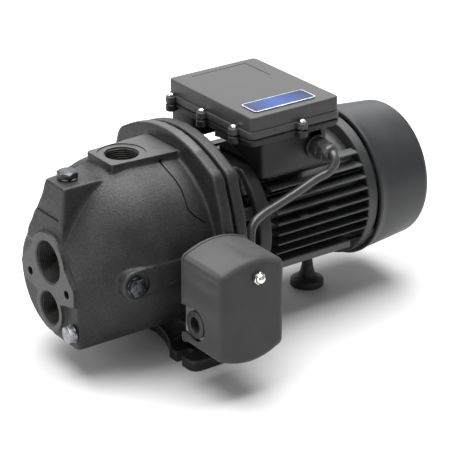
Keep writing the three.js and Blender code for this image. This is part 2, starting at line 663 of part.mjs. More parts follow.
// -------------------------------------------------------------- the cable gland
const glandBody = cut(
  union(
    hexBar('y', TUB.y0 - 14, TUB.y0 - GAP, 11, GLAND.x, GLAND.z),
    bar('y', TUB.y0 - 4, TUB.y0 - GAP, 12.5, GLAND.x, GLAND.z),
  ),
  bar('y', -80, -50, LEAD_R + GAP, GLAND.x, GLAND.z),
);
addPiece('gland_body', glandBody, 'blackPlastic');
const glandNut = cut(
  union(
    bar('y', -82, -74.4, GLAND.r + 0.5, GLAND.x, GLAND.z, { sides: 8 }),
    bar('y', -87, -82, 6.5, GLAND.x, GLAND.z, { radiusTo: 9.5 }),
  ),
  bar('y', -90, -70, LEAD_R + 0.8, GLAND.x, GLAND.z),
);
addPiece('gland_nut', glandNut, 'blackPlastic');

// ---------------------------------------------------------- the pressure switch
// Front view of the cover: straight sides between two shallow arcs.
function switchOutline(inset) {
  const { x, half, low, high, sag } = SWITCH;
  const w = half - inset;
  const shape = new THREE.Shape();
  shape.moveTo(x - w, low + inset + 5);
  shape.quadraticCurveTo(x - w, low + inset, x - w + 5, low + inset - 1.5);
  shape.quadraticCurveTo(x, low + inset - 2 * sag + 4, x + w - 5, low + inset - 1.5);
  shape.quadraticCurveTo(x + w, low + inset, x + w, low + inset + 5);
  shape.lineTo(x + w, high - inset - 5);
  shape.quadraticCurveTo(x + w, high - inset, x + w - 5, high - inset + 1.5);
  shape.quadraticCurveTo(x, high - inset + 2 * sag - 4, x - w + 5, high - inset + 1.5);
  shape.quadraticCurveTo(x - w, high - inset, x - w, high - inset - 5);
  return shape;
}

// The cover's outline as a ring of points at one Y station.
function switchRing(inset, y) {
  const points = switchOutline(inset).getPoints(4).slice(0, -1);
  return points.map((point) => new THREE.Vector3(point.x, y, point.y));
}

function switchPrism(inset, y0, y1) {
  return loft([switchRing(inset, y0), switchRing(inset, y1)]);
}

function makeSwitchCover() {
  const { x, half, y0, y1 } = SWITCH;
  const outer = loft([
    switchRing(7, y1), switchRing(4, y1 + 1), switchRing(1.6, y1 + 3), switchRing(0, y1 + 7),
    switchRing(0, y0),
  ]);
  const hollow = loft([
    switchRing(8, y1 + 2.2), switchRing(4, y1 + 4), switchRing(2.2, y1 + 8), switchRing(2.2, y0 + 1),
  ]);
  const rim = cut(switchPrism(-1.2, y0 - 2.5, y0), switchPrism(1, y0 - 4, y0 + 2));
  const notches = [-1, 1].map((side) => {
    const from = side < 0 ? x - half - 3 : x + half - 5;
    return union(
      bar('x', from, from + 8, 16.5, BUSHING.y, BUSHING.z),
      block(from, from + 8, BUSHING.y, y0 + 5, BUSHING.z - 15, BUSHING.z + 15),
    );
  });
  const studHole = bar('y', y1 - 1, y1 + 4, 3.7, STUD.x, STUD.z);
  return cut(union(cut(outer, hollow), rim), ...notches, studHole);
}

addPiece('switch_cover', makeSwitchCover(), 'switchPlastic');

function makeSwitchBase() {
  const { x, half, y0, low, high } = SWITCH;
  const back = block(x - half + 3.4, x + half - 3.4, y0 - 2.5, y0 - 0.5, low + 5, high - 5);
  const ears = [-1, 1].map((side) => {
    const face = x + side * (half - 4.4);
    return block(face - 1, face + 1, BUSHING.y - 15, y0 - 0.5, BUSHING.z - 16, BUSHING.z + 17);
  });
  const holes = [-1, 1].map((side) => bar(
    'x', x + side * half - 8, x + side * half + 8, 9.6, BUSHING.y, BUSHING.z,
  ));
  const tower = block(x - 18, x + 18, -130, y0 - 1, -4, 0);
  return cut(union(back, ...ears, tower), ...holes);
}

addPiece('switch_base', makeSwitchBase(), 'zinc');

[-1, 1].forEach((side) => {
  const ear = SWITCH.x + side * (SWITCH.half - 4.4);
  const out = side * 1.4;
  const span = (p, q) => [Math.min(p, q), Math.max(p, q)];
  const ring = union(
    bar('x', ...span(ear + out, ear + side * 4.4), BUSHING.r, BUSHING.y, BUSHING.z),
    bar('x', ...span(ear - side * 4, ear + side * 2), 9.2, BUSHING.y, BUSHING.z),
  );
  const hole = bar('x', ear - 12, ear + 12, side < 0 ? BUSHING.hole : LEAD_R + GAP, BUSHING.y, BUSHING.z);
  addPiece(side < 0 ? 'bushing_front' : 'bushing_rear', cut(ring, hole), 'blackPlastic');
});

const switchNipple = union(
  hexBar('y', SWITCH.y0 - 0.15, -90, 12, SWITCH.x, -20),
  bar('y', -90.5, -76, 6.6, SWITCH.x, -20),
);
addPiece('switch_nipple', switchNipple, 'zinc');

const switchStud = bar('y', -172, SWITCH.y0 - 2.5 - GAP, 3.2, STUD.x, STUD.z);
addPiece('switch_stud', switchStud, 'steel');
const acornNut = cut(
  union(
    hexBar('y', -171.5, SWITCH.y1 - GAP, 6.4, STUD.x, STUD.z),
    bar('y', -176.5, -171.5, 2.5, STUD.x, STUD.z, { radiusTo: 5 }),
  ),
  bar('y', -173, -160, 3.6, STUD.x, STUD.z),
);
addPiece('acorn_nut', acornNut, 'nickel');
addPiece('range_spring', bar('y', -152, -130.4, 7.5, SWITCH.x - 10, -2), 'steel');
addPiece('contact_block', block(SWITCH.x - 20, SWITCH.x + 20, -134, -107, -44, -12), 'blackPlastic');

// ---------------------------------------------------------- the pressure lead
// From the gland on the terminal box to the rear bushing of the switch.
const leadRoute = [
  [271, -61.5, 74.5], [271, -75, 74.5], [271, -88, 74.5], [269.5, -93.5, 69], [263, -92, 60],
  [251, -88.5, 54.5],
  [227, -87, 45], [205, -85.5, 37], [189, -85, 31.5], [176, -87, 24], [169, -93, 12], [167.5, -101, -4],
  [168, -110, -20], [169, -118, -32], [165.5, -123, -38.3], [159, -124, -39], [151, -124, -39],
].map(([x, y, z]) => new THREE.Vector3(x, y, z));
const leadPath = new THREE.CatmullRomCurve3(leadRoute, false, 'centripetal');
const leadSection = new THREE.Shape();
leadSection.absarc(0, 0, LEAD_R, 0, 2 * Math.PI, false);
const leadOptions = { steps: 40, extrudePath: leadPath, curveSegments: 4 };
const leadGeometry = new THREE.ExtrudeGeometry(leadSection, leadOptions);
addPiece('switch_lead', solid(leadGeometry), 'blackPlastic');

const pump = new THREE.Group();
pump.add(shaftFrame);

export default pump;
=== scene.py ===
import json
import math

import bmesh
import bpy
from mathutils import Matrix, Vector


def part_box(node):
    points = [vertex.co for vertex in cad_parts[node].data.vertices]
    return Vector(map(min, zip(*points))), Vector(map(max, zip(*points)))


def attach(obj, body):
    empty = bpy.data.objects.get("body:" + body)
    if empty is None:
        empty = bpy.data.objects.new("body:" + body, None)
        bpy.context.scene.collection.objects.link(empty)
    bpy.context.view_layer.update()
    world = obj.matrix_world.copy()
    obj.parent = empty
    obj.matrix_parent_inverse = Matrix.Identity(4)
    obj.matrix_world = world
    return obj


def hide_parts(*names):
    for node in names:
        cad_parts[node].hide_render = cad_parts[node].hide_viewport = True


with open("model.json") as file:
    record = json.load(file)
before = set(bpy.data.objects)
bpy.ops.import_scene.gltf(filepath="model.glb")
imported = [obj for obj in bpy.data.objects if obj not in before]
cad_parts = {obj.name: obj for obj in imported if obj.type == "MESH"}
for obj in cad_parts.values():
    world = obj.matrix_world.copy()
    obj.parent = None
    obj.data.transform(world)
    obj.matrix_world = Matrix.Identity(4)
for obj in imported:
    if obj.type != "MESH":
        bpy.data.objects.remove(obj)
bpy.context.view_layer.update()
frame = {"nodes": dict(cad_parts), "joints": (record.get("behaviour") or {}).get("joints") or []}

# ------------------------------------------------------------- camera, floor, light
# The pump stands on a seamless pale studio sweep. A long lens looks down on its front
# corner, with one broad soft box overhead, and weaker ones behind, on the left and
# beside the lens.
MM = 0.001
SHAFT = Vector(next(joint["pos_m"] for joint in frame["joints"] if joint["name"] == "shaft_spin"))
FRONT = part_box("pump_casing")[0].x


def row(x, y, z):
    """A place in mm: x back along the shaft from the front face, y across, z up from the shaft axis."""
    return Vector((FRONT + x * MM, y * MM, SHAFT.z + z * MM))


lens = bpy.data.cameras.new("camera")
lens.sensor_width = 36.0
lens.lens = 158.96
lens.clip_end = 20.0
camera = bpy.data.objects.new("camera", lens)
bpy.context.collection.objects.link(camera)
aim = row(205.6, 0, -15)
turn, rise = math.radians(-35.58), math.radians(24.19)
towards_lens = Vector((math.sin(turn) * math.cos(rise), -math.cos(turn) * math.cos(rise), math.sin(rise)))
camera.location = aim + 1.9864 * towards_lens
camera.rotation_euler = (-towards_lens).to_track_quat("-Z", "Y").to_euler()
bpy.context.scene.camera = camera
bpy.context.scene.view_settings.view_transform = "Standard"


def linear(hex_colour):
    channels = [int(hex_colour[i : i + 2], 16) / 255 for i in (1, 3, 5)]
    return [c / 12.92 if c <= 0.04045 else ((c + 0.055) / 1.055) ** 2.4 for c in channels] + [1.0]


def add_node(tree, kind, settings=None, links=None):
    node = tree.nodes.new(kind)
    for name, value in (settings or {}).items():
        if isinstance(name, str) and hasattr(node, name):
            setattr(node, name, value)
        else:
            node.inputs[name].default_value = value
    for name, source in (links or {}).items():
        tree.links.new(source, node.inputs[name])
    return node


def soft_box(name, place, target, width, height, power, colour="#ffffff"):
    light = bpy.data.lights.new(name, "AREA")
    light.shape = "RECTANGLE"
    light.size, light.size_y = width, height
    light.energy = power
    light.color = linear(colour)[:3]
    lamp = bpy.data.objects.new(name, light)
    bpy.context.collection.objects.link(lamp)
    lamp.location = place
    lamp.rotation_euler = (Vector(target) - Vector(place)).to_track_quat("-Z", "Y").to_euler()


middle = row(200, 0, 0)
soft_box("overhead_box", (0.1, 0.3, 2.4), middle, 3.0, 2.6, 200)
soft_box("back_box", (1.7, 2.3, 1.35), middle, 3.0, 1.4, 24)
soft_box("left_box", (-2.2, -0.2, 0.9), middle, 1.2, 1.4, 18)
soft_box("lens_box", (0.3, -2.4, 1.4), middle, 1.0, 1.0, 2)

sky = bpy.data.worlds.new("studio")
sky.use_nodes = True
sky.node_tree.nodes["Background"].inputs["Color"].default_value = (1, 1, 1, 1)
sky.node_tree.nodes["Background"].inputs["Strength"].default_value = 0.4
bpy.context.scene.world = sky

floor_mesh = bpy.data.meshes.new("floor")
floor_mesh.from_pydata([(-9, -9, 0), (9, -9, 0), (9, 9, 0), (-9, 9, 0)], [], [(0, 1, 2, 3)])
floor = bpy.data.objects.new("floor", floor_mesh)
bpy.context.collection.objects.link(floor)
pale_grey_sweep = bpy.data.materials.new("pale_grey_sweep")
pale_grey_sweep.use_nodes = True
sweep_surface = pale_grey_sweep.node_tree.nodes["Principled BSDF"]
sweep_surface.inputs["Base Color"].default_value = linear("#c4c4c4")
sweep_surface.inputs["Roughness"].default_value = 0.9
floor_mesh.materials.append(pale_grey_sweep)


# -------------------------------------------------------------------- the pump casing
# The wet end is one iron casting: a dome that runs into a barrel, a ridge along its
# top, and pads for the ports and plugs. It is cast in sand, then painted matt black,
# and the port face, outlet top and side pad are milled flat and bored.
def new_piece(name, points, faces):
    mesh = bpy.data.meshes.new(name)
    mesh.from_pydata([row(*p) for p in points], [], faces)
    shape = bmesh.new()
    shape.from_mesh(mesh)
    bmesh.ops.recalc_face_normals(shape, faces=shape.faces)
    shape.to_mesh(mesh)
    shape.free()
    piece = bpy.data.objects.new(name, mesh)
    bpy.context.collection.objects.link(piece)
    return piece


def loft(name, rings):
    count = len(rings[0])
    points = [p for ring in rings for p in ring]
    faces = [list(range(count)), list(range(len(points) - count, len(points)))]
    for k in range(len(rings) - 1):
        for i in range(count):
            j = (i + 1) % count
            faces.append([k * count + i, k * count + j, (k + 1) * count + j, (k + 1) * count + i])
    return new_piece(name, points, faces)


def along(axis, distance, a, b):
    return {"x": (distance, a, b), "y": (a, distance, b), "z": (a, b, distance)}[axis]


def prism(name, axis, start, end, outline):
    return loft(name, [[along(axis, d, a, b) for a, b in outline] for d in (start, end)])


def circle(a, b, radius, sides=64, phase=0.0):
    angles = [2 * math.pi * (i + phase) / sides for i in range(sides)]
    return [(a + radius * math.cos(t), b + radius * math.sin(t)) for t in angles]


def box_outline(a0, a1, b0, b1, radius=0.0, steps=6):
    if not radius:
        return [(a0, b0), (a1, b0), (a1, b1), (a0, b1)]
    points = []
    for a, b, first in ((a1, b0, -90), (a1, b1, 0), (a0, b1, 90), (a0, b0, 180)):
        centre_a = a - radius if a == a1 else a + radius
        centre_b = b - radius if b == b1 else b + radius
        for k in range(steps + 1):
            t = math.radians(first + 90 * k / steps)
            points.append((centre_a + radius * math.cos(t), centre_b + radius * math.sin(t)))
    return points


def bar(name, axis, start, end, radius, a, b, sides=64):
    return prism(name, axis, start, end, circle(a, b, radius, sides))


def turned(name, axis, a, b, profile, sides=96):
    """A lathe-turned solid about the line (a, b).

    profile is a list of (distance, radius) points, or a function that gives one for each angle.
    """
    shape = profile if callable(profile) else (lambda angle: profile)
    closed = shape(0)[0][1] > 0
    points, faces = [], []
    count = len(shape(0))
    for i in range(sides):
        angle = 2 * math.pi * i / sides
        for distance, radius in shape(angle):
            points.append(along(axis, distance, a + radius * math.cos(angle), b + radius * math.sin(angle)))
    for i in range(sides):
        j = (i + 1) % sides
        for k in range(count if closed else count - 1):
            m = (k + 1) % count
            faces.append([i * count + k, j * count + k, j * count + m, i * count + m])
    piece = new_piece(name, points, faces)
    weld(piece)
    return piece


def weld(piece):
    shape = bmesh.new()
    shape.from_mesh(piece.data)
    bmesh.ops.remove_doubles(shape, verts=shape.verts, dist=1e-6)
    bmesh.ops.dissolve_degenerate(shape, edges=shape.edges, dist=1e-7)
    bmesh.ops.recalc_face_normals(shape, faces=shape.faces)
    shape.to_mesh(piece.data)
    shape.free()


def bake_modifiers(piece):
    graph = bpy.context.evaluated_depsgraph_get()
    shaped = bpy.data.meshes.new_from_object(piece.evaluated_get(graph), depsgraph=graph)
    piece.modifiers.clear()
    piece.data = shaped
    return piece


def combine(piece, how, *tools):
    for tool in tools:
        step = piece.modifiers.new("work", "BOOLEAN")
        step.operation = how
        step.solver = "MANIFOLD"
        step.object = tool
    bake_modifiers(piece)
    piece.data.materials.clear()
    for tool in tools:
        bpy.data.objects.remove(tool)
    return piece


def cast(piece, grain, rounds):
    """Gives a rough shape the soft inside and outside corners that sand casting leaves."""
    skin = piece.modifiers.new("skin", "REMESH")
    skin.mode = "VOXEL"
    skin.voxel_size = grain * MM
    soften = piece.modifiers.new("soften", "SMOOTH")
    soften.iterations = rounds
    return bake_modifiers(piece)


def smooth_shade(piece, degrees=35):
    piece.data.shade_smooth()
    piece.data.set_sharp_from_angle(angle=math.radians(degrees))
    return piece


def eased(piece, width, steps=2, degrees=35):
    """Breaks every sharp edge of a machined or moulded piece with a small radius."""
    ease = piece.modifiers.new("ease", "BEVEL")
    ease.width = width * MM
    ease.segments = steps
    ease.limit_method = "ANGLE"
    ease.angle_limit = math.radians(degrees)
    ease.use_clamp_overlap = True
    bake_modifiers(piece)
    return smooth_shade(piece)


def fit(piece, nodes, body, slot, *finishes):
    """Puts the finished piece in the pump: what it stands for, what it moves with, and its finish."""
    for finish in finishes:
        if finish.name not in piece.data.materials:
            piece.data.materials.append(finish)
    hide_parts(*nodes)
    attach(piece, body)
    return piece


def new_finish(name, roughness, metallic=0.0):
    finish = bpy.data.materials.new(name)
    finish.use_nodes = True
    tree = finish.node_tree
    surface = tree.nodes["Principled BSDF"]
    surface.inputs["Roughness"].default_value = roughness
    surface.inputs["Metallic"].default_value = metallic
    place = add_node(tree, "ShaderNodeTexCoord").outputs["Object"]
    return finish, tree, surface, place


def speckle(tree, place, size_mm, detail=3.0, roughness=0.55):
    return add_node(
        tree, "ShaderNodeTexNoise", {"Scale": 1 / (size_mm * MM), "Detail": detail, "Roughness": roughness},
        {"Vector": place},
    ).outputs["Fac"]


def colour_steps(tree, factor, *stops):
    ramp = add_node(tree, "ShaderNodeValToRGB", links={"Fac": factor})
    while len(ramp.color_ramp.elements) < len(stops):
        ramp.color_ramp.elements.new(0.5)
    for element, (position, hex_colour) in zip(ramp.color_ramp.elements, stops):
        element.position = position
        element.color = linear(hex_colour)
    return ramp.outputs["Color"]


def raise_surface(tree, surface, height, depth_mm, strength=1.0, below=None):
    links = {"Height": height}
    if below is not None:
        links["Normal"] = below
    bump = add_node(tree, "ShaderNodeBump", {"Strength": strength, "Distance": depth_mm * MM}, links)
    tree.links.new(bump.outputs["Normal"], surface.inputs["Normal"])
    return bump.outputs["Normal"]


# Black paint over sand-cast iron: the sand leaves grains of about a millimetre and slow
# unevenness. Convex edges are lighter: paint rubbed thin, and a painted highlight.
def black_paint_on_iron(name, dark, light, edge_wear_and_highlight_colour, roughness, sand_mm, depth_mm):
    finish, tree, surface, place = new_finish(name, roughness)
    surface.inputs["Specular IOR Level"].default_value = 0.3
    sand = speckle(tree, place, sand_mm, 4.0, 0.62)
    patches = speckle(tree, place, 26, 3.0)
    body = colour_steps(tree, patches, (0.32, dark), (0.72, light))
    pits = colour_steps(tree, sand, (0.36, "#6f6f6f"), (0.5, "#bcbcbc"), (0.68, "#ffffff"))
    darken = {"data_type": "RGBA", "blend_type": "MULTIPLY", 0: 0.8}
    grained = add_node(tree, "ShaderNodeMix", darken, {6: body, 7: pits})
    # Convex edges, found by pointiness, are painted lighter: rubbed paint and a painted highlight.
    edge = add_node(tree, "ShaderNodeNewGeometry").outputs["Pointiness"]
    wear_and_highlight_edge_mask = colour_steps(tree, edge, (0.515, "#000000"), (0.6, "#9a9a9a"))
    rub = {"data_type": "RGBA", 7: linear(edge_wear_and_highlight_colour)}
    worn_and_highlit = add_node(tree, "ShaderNodeMix", rub, {0: wear_and_highlight_edge_mask, 6: grained.outputs[2]})
    tree.links.new(worn_and_highlit.outputs[2], surface.inputs["Base Color"])
    gloss = colour_steps(tree, sand, (0.3, "#c4c4c4"), (0.7, "#a2a2a2"))
    tree.links.new(gloss, surface.inputs["Roughness"])
    waves = raise_surface(tree, surface, patches, 0.9, 0.5)
    raise_surface(tree, surface, sand, depth_mm, 0.7, waves)
    return finish


painted_casting = black_paint_on_iron(
    "black_paint_on_sand_cast_iron", "#202021", "#2e2e2f", "#5c5c5d", 0.6, 1.6, 0.45)


# Milled iron under the same thin paint: flatter and a little paler, with fine cutter
# marks about 1 mm apart running across the face.
def painted_milled_iron(name, base, marks):
    finish, tree, surface, place = new_finish(name, 0.5)
    rings = {"wave_type": "RINGS", "rings_direction": "X", "Scale": 260.0, "Distortion": 2.0, "Detail": 2.0}
    cutter = add_node(tree, "ShaderNodeTexWave", rings, {"Vector": place})
    stain = speckle(tree, place, 7, 4.0)
    tone = colour_steps(tree, stain, (0.3, base), (0.7, marks))
    tree.links.new(tone, surface.inputs["Base Color"])
    fine = raise_surface(tree, surface, speckle(tree, place, 1.1, 3.0), 0.1, 0.5)
    raise_surface(tree, surface, cutter.outputs["Fac"], 0.03, 0.4, fine)
    return finish


milled_face = painted_milled_iron("thin_paint_on_milled_iron", "#2b2b2c", "#373738")

# Cut threads: metallic iron, coloured very dark and varying at random.
dark_thread_finish, tree, surface, place = new_finish("dark_cut_iron_thread", 0.5, 0.7)
thread_tone = colour_steps(tree, speckle(tree, place, 2.5), (0.3, "#171716"), (0.7, "#333230"))
tree.links.new(thread_tone, surface.inputs["Base Color"])
raise_surface(tree, surface, speckle(tree, place, 0.9), 0.05, 0.5)

BARREL_R = 88
FACE_X, DOME_END_X = 4, 84
PORTS = {"upper": (0, 21.0), "lower": (-48, 16.6)}
OUTLET_X, OUTLET_TOP = 85.2, 91.6
RIDGE_TOP = 80
PRIMING_X = 25
SIDE_PAD = {"x": 46, "y": -84.2, "z": -4, "r": 15.5}
DRAIN = {"y": -38, "z": -60}
FLANGE = (133, 145)
BACK_FLANGE = (149, 161)
BOLTS = [(side * 74, z) for side in (-1, 1) for z in (66, -62)]
SWITCH_X = 118.5


def front_radius(angle):
    across, up = math.cos(angle), math.sin(angle)
    mid = 4 * across - 23 * up
    rounded = mid + math.sqrt(mid * mid + 52.5**2 - 4**2 - 23**2)
    wall = 46 / -across if across < 0 else math.inf
    base = 77 / -up if up < 0 else math.inf
    square = min(wall, base) if across < 0 and up < 0 else 0
    return max(min(rounded, wall), square)


def casing_skin(name, stations, inset, sides):
    rings = []
    for x in stations:
        part = min(max((x - FACE_X) / (DOME_END_X - FACE_X), 0), 1)
        growth = 1 - (1 - part) ** 2.4
        ring = []
        for i in range(sides):
            angle = 2 * math.pi * i / sides
            front = front_radius(angle)
            radius = front + (BARREL_R - front) * growth - inset
            ring.append((x, radius * math.cos(angle), radius * math.sin(angle)))
        rings.append(ring)
    return loft(name, rings)


def bowed_path(start, *bends, steps=12):
    points = [start]
    for control, end in bends:
        a = points[-1]
        for k in range(1, steps + 1):
            t = k / steps
            points.append(tuple(
                (1 - t) ** 2 * a[n] + 2 * t * (1 - t) * control[n] + t * t * end[n] for n in (0, 1)))
    return points[:-1]


def flange_outline(grow=0.0):
    side, top, low, corner = 84 + grow, 82 + grow, -76 - grow, 8
    return bowed_path(
        (side - corner - 3, top + 3),
        ((0, 126 + grow), (-side + corner, top + 4)),
        ((-side - 1, top + 1), (-side - 3, top - 12)),
        ((-118 - grow, 0), (-side - 3, low + 12)),
        ((-side, low), (-side + corner, low - 3)),
        ((0, -106 - grow), (side - corner, low - 3)),
        ((side, low), (side + 3, low + 12)),
        ((118 + grow, 0), (side + 1, top - 14)),
        ((side - 2, top - 1), (side - corner - 3, top + 3)),
    )


def ridge_section(lean, far_edge):
    outline = [
        (-21.5, 12), (-21.5, RIDGE_TOP), (far_edge, RIDGE_TOP), (far_edge + 7, 60), (31, 40), (41, 20),
        (41, 12)]
    return [(lean(z), y, z) for y, z in outline]


def cast_casing():
    stations = [FACE_X + 80 * (k / 40) ** 1.3 for k in range(41)] + [92, 104, 116, FLANGE[0] + 3]
    outside = casing_skin("pump_casting", stations, 0, 160)
    ridge = loft("ridge", [
        ridge_section(lambda z: 2 + (z - 12) * 0.09, 12),
        ridge_section(lambda z: 64, 23),
        ridge_section(lambda z: FLANGE[0] + 2, 23),
    ])
    boss = prism("boss", "z", 60, OUTLET_TOP + 1, [
        (60, -22.3), (FLANGE[0] + 4, -28), (FLANGE[0] + 4, 28), (60, 22.3)])
    pad_x, pad_z, pad_r = SIDE_PAD["x"], SIDE_PAD["z"], SIDE_PAD["r"]
    side_rib = loft("side_rib", [
        [(x, -face, low), (x, -60, low), (x, -60, pad_z + pad_r), (x, -face, pad_z + pad_r)]
        for x, face, low in ((pad_x, 85.2, pad_z - pad_r), (66, 88, -14), (84, 89, -8), (128, 89, -4))])
    side_round = bar("side_round", "y", SIDE_PAD["y"] - 1, -60, pad_r, pad_x, pad_z)
    flange = prism("flange", "x", FLANGE[0], FLANGE[1], flange_outline())
    upper_pad = bar("upper_pad", "x", -1, 12, 30, 0, 0)
    lower_pad = bar("lower_pad", "x", -1, 12, 23, 0, -48)
    ears = prism("ears", "x", -1, 12, [
        (-29, 4), (-46, -14), (-46, -30), (-23, -36), (23, -36), (46, -32), (50, -14), (29, 8)])
    combine(outside, "UNION", ridge, boss, side_rib, side_round, flange, upper_pad, lower_pad, ears)
    chamber = casing_skin("chamber", [16, 28, 44, 64, DOME_END_X, FLANGE[1] + 1], 7.5, 48)
    combine(outside, "DIFFERENCE", chamber)
    suction_tube = bar("suction_tube", "x", 6, 66, 27, 0, 0)
    lower_boss = bar("lower_boss", "x", 6, 30, 21.8, 0, -48)
    priming_boss = bar("priming_boss", "z", 50, RIDGE_TOP - 6, 14, PRIMING_X, 0)
    combine(outside, "UNION", suction_tube, lower_boss, priming_boss)
    return cast(outside, 1.5, 7)


def milled(piece):
    """Everything the milling machine and the drills take off the cold casting."""
    pad_x, pad_y, pad_z = SIDE_PAD["x"], SIDE_PAD["y"], SIDE_PAD["z"]
    cuts = [
        prism("front_cut", "x", -5, 0, box_outline(-70, 70, -90, 50)),
        prism("outlet_cut", "z", OUTLET_TOP, OUTLET_TOP + 5, box_outline(50, 132.5, -40, 40)),
        bar("side_cut", "y", pad_y - 6, pad_y, 13, pad_x - 1, pad_z),
        prism("rear_cut", "x", FLANGE[1] - 0.05, FLANGE[1] + 5, box_outline(-130, 130, -130, 130)),
        bar("spot_face", "z", OUTLET_TOP - 0.9, OUTLET_TOP + 3, 23.5, OUTLET_X, 0, 96),
        bar("outlet_bore", "z", 60, OUTLET_TOP + 3, 16.8, OUTLET_X, 0, 96),
        bar("priming_bore", "z", 40, RIDGE_TOP + 3, 7.4, PRIMING_X, 0),
        bar("side_bore", "y", pad_y - 3, -60, 5.6, pad_x - 2, pad_z),
        bar("side_seat", "y", pad_y - 3, pad_y + 0.6, 11.5, pad_x - 2, pad_z),
        bar("drain_bore", "x", 1, 30, 5.6, DRAIN["y"], DRAIN["z"]),
        bar("throat", "x", 20, 48, 17, 0, 0),
        bar("throat_end", "x", 47, 67, 22, 0, 0),
        bar("switch_bore", "y", -92, -70, 7, SWITCH_X, -20),
    ]
    for z, radius in PORTS.values():
        cuts.append(bar("port_bore", "x", -3, 30, radius + 0.2, 0, z, 96))
        chamfer = [(-2, 0), (-2, radius + 3.4), (2.2, radius - 0.8), (2.2, 0)]
        cuts.append(turned("port_chamfer", "x", 0, z, chamfer))
    for y in (-33, 33):
        cuts.append(bar("front_hole", "x", -3, 11, 4.3, y, -21, 48))
    for y, z in BOLTS:
        cuts.append(bar("bolt_hole", "x", FLANGE[0] + 2, FLANGE[1] + 2, 4.6, y, z, 32))
    combine(piece, "DIFFERENCE", *cuts)
    mould_mark = loft("mould_mark", [
        [(2 + (z - 12) * 0.09 + deep, y, z) for (y, z), deep in zip(box_outline(-15, 30, 45, 61), depths)]
        for depths in ((-3, -3, -3, -3), (1.5, 1.5, -0.3, -0.3))])
    seam = []
    for k in range(37):
        degrees = 106 + 49 * k / 36
        t = math.radians(degrees)
        x = 112.6 + 1.2 * math.sin(9 * t) + 14 * (max(0, degrees - 143) / 12) ** 1.4
        corners = ((0, 86), (2.6, 91), (-2.6, 91))
        seam.append([(x + step, r * math.cos(t), r * math.sin(t)) for step, r in corners])
    seam = loft("seam", seam)
    combine(piece, "DIFFERENCE", mould_mark, seam)
    return smooth_shade(piece, 40)


def two_finishes(piece, first, second, takes_second):
    """Face by face: the second finish goes where takes_second says, the first everywhere else."""
    piece.data.materials.append(first)
    piece.data.materials.append(second)
    for face in piece.data.polygons:
        centre = (face.center - row(0, 0, 0)) / MM
        face.material_index = 1 if takes_second(centre, face.normal) else 0


def is_milled(p, n):
    """The front face, the outlet's top, the side pad and the mouths of the two ports."""
    on_front = p.x < 0.3 and n.x < -0.9
    on_outlet = p.z > OUTLET_TOP - 1.2 and n.z > 0.95
    on_side_pad = n.y < -0.95 and math.dist((p.x, p.z), (SIDE_PAD["x"] - 1, SIDE_PAD["z"])) < 13.2
    in_port = math.hypot(p.y, p.z) < 25 or math.hypot(p.y, p.z + 48) < 21
    return on_front or on_outlet or on_side_pad or (p.x < 3 and in_port)


pump_casing = milled(cast_casing())
two_finishes(pump_casing, painted_casting, milled_face, is_milled)
fit(pump_casing, ["pump_casing"], "pump", "casting")


# Pipe threads are cut straight into the iron, 11.5 turns to the inch.
def cut_thread(name, axis, a, b, start, end, radius, pitch=2.21, depth=1.25):
    turns = abs(end - start) / pitch
    samples = int(turns * 4)
    sign = 1 if end > start else -1

    def section(angle):
        inner = []
        for k in range(samples + 1):
            distance = start + (end - start) * k / samples
            phase = (abs(distance - start) / pitch - sign * angle / (2 * math.pi)) % 1.0
            inner.append((distance, radius - depth * (1 - abs(2 * phase - 1))))
        return inner + [(end, radius + 1.0), (start, radius + 1.0)]

    sleeve = turned(name, axis, a, b, section, 96)
    sleeve.data.materials.append(dark_thread_finish)
    smooth_shade(sleeve, 60)
    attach(sleeve, "pump")
    return sleeve


cut_thread("upper_port_thread", "x", 0, 0, 2.2, 29.5, PORTS["upper"][1])
cut_thread("lower_port_thread", "x", 0, -48, 2.2, 29.5, PORTS["lower"][1])
cut_thread("outlet_thread", "z", OUTLET_X, 0, OUTLET_TOP - 2.4, 64, PORTS["lower"][1])


# -------------------------------------------------------------------------- the plugs
# Three solid plugs close the casting: one on the ridge to prime it, one low on the
# front to drain it and one on the side pad. Each is turned from hexagon bar with a
# washer face and a bevelled crown, then plated.
def plated_steel(name, tone, bright, roughness, wear_mm=1.6):
    finish, tree, surface, place = new_finish(name, roughness, 1.0)
    haze = speckle(tree, place, 6, 4.0)
    tree.links.new(colour_steps(tree, haze, (0.35, tone), (0.68, bright)), surface.inputs["Base Color"])
    rub = speckle(tree, place, wear_mm, 3.0)
    low, high = roughness * 0.75, roughness * 1.3
    spread = add_node(tree, "ShaderNodeMapRange", {"To Min": low, "To Max": high}, {"Value": rub})
    tree.links.new(spread.outputs["Result"], surface.inputs["Roughness"])
    raise_surface(tree, surface, rub, 0.03, 0.2)
    return finish


zinc_plate = plated_steel("clear_zinc_plate_on_steel", "#77787b", "#a0a1a4", 0.34)
bright_nickel = plated_steel("bright_nickel_plate_on_steel", "#c9c8c4", "#ecebe8", 0.16)
grey_phosphate = plated_steel("worn_grey_zinc_on_steel", "#38393a", "#5a5b5d", 0.42)
dark_chromate = plated_steel("dark_chromate_on_steel", "#303132", "#636568", 0.26)
black_oxide = plated_steel("black_oxide_on_steel", "#141415", "#27282a", 0.42)


def hexagon_head(name, axis, a, b, face, top, width, turn_degrees=0.0):
    """A hex head across-flats width, from its washer face to its crown, with the corners turned off."""
    corner = width / 2 / math.cos(math.pi / 6)
    body = prism(name, axis, face, top, circle(a, b, corner, 6, turn_degrees / 60))
    out = 1 if top > face else -1
    height = abs(top - face)
    envelope = turned("envelope", axis, a, b, [
        (face, 0), (face, corner * 0.93), (face + out * height * 0.1, corner * 1.02),
        (face + out * (height - corner * 0.16), corner * 1.02), (top, corner * 0.74), (top, 0)], 96)
    combine(body, "INTERSECT", envelope)
    return eased(body, 0.22, 2, 20)


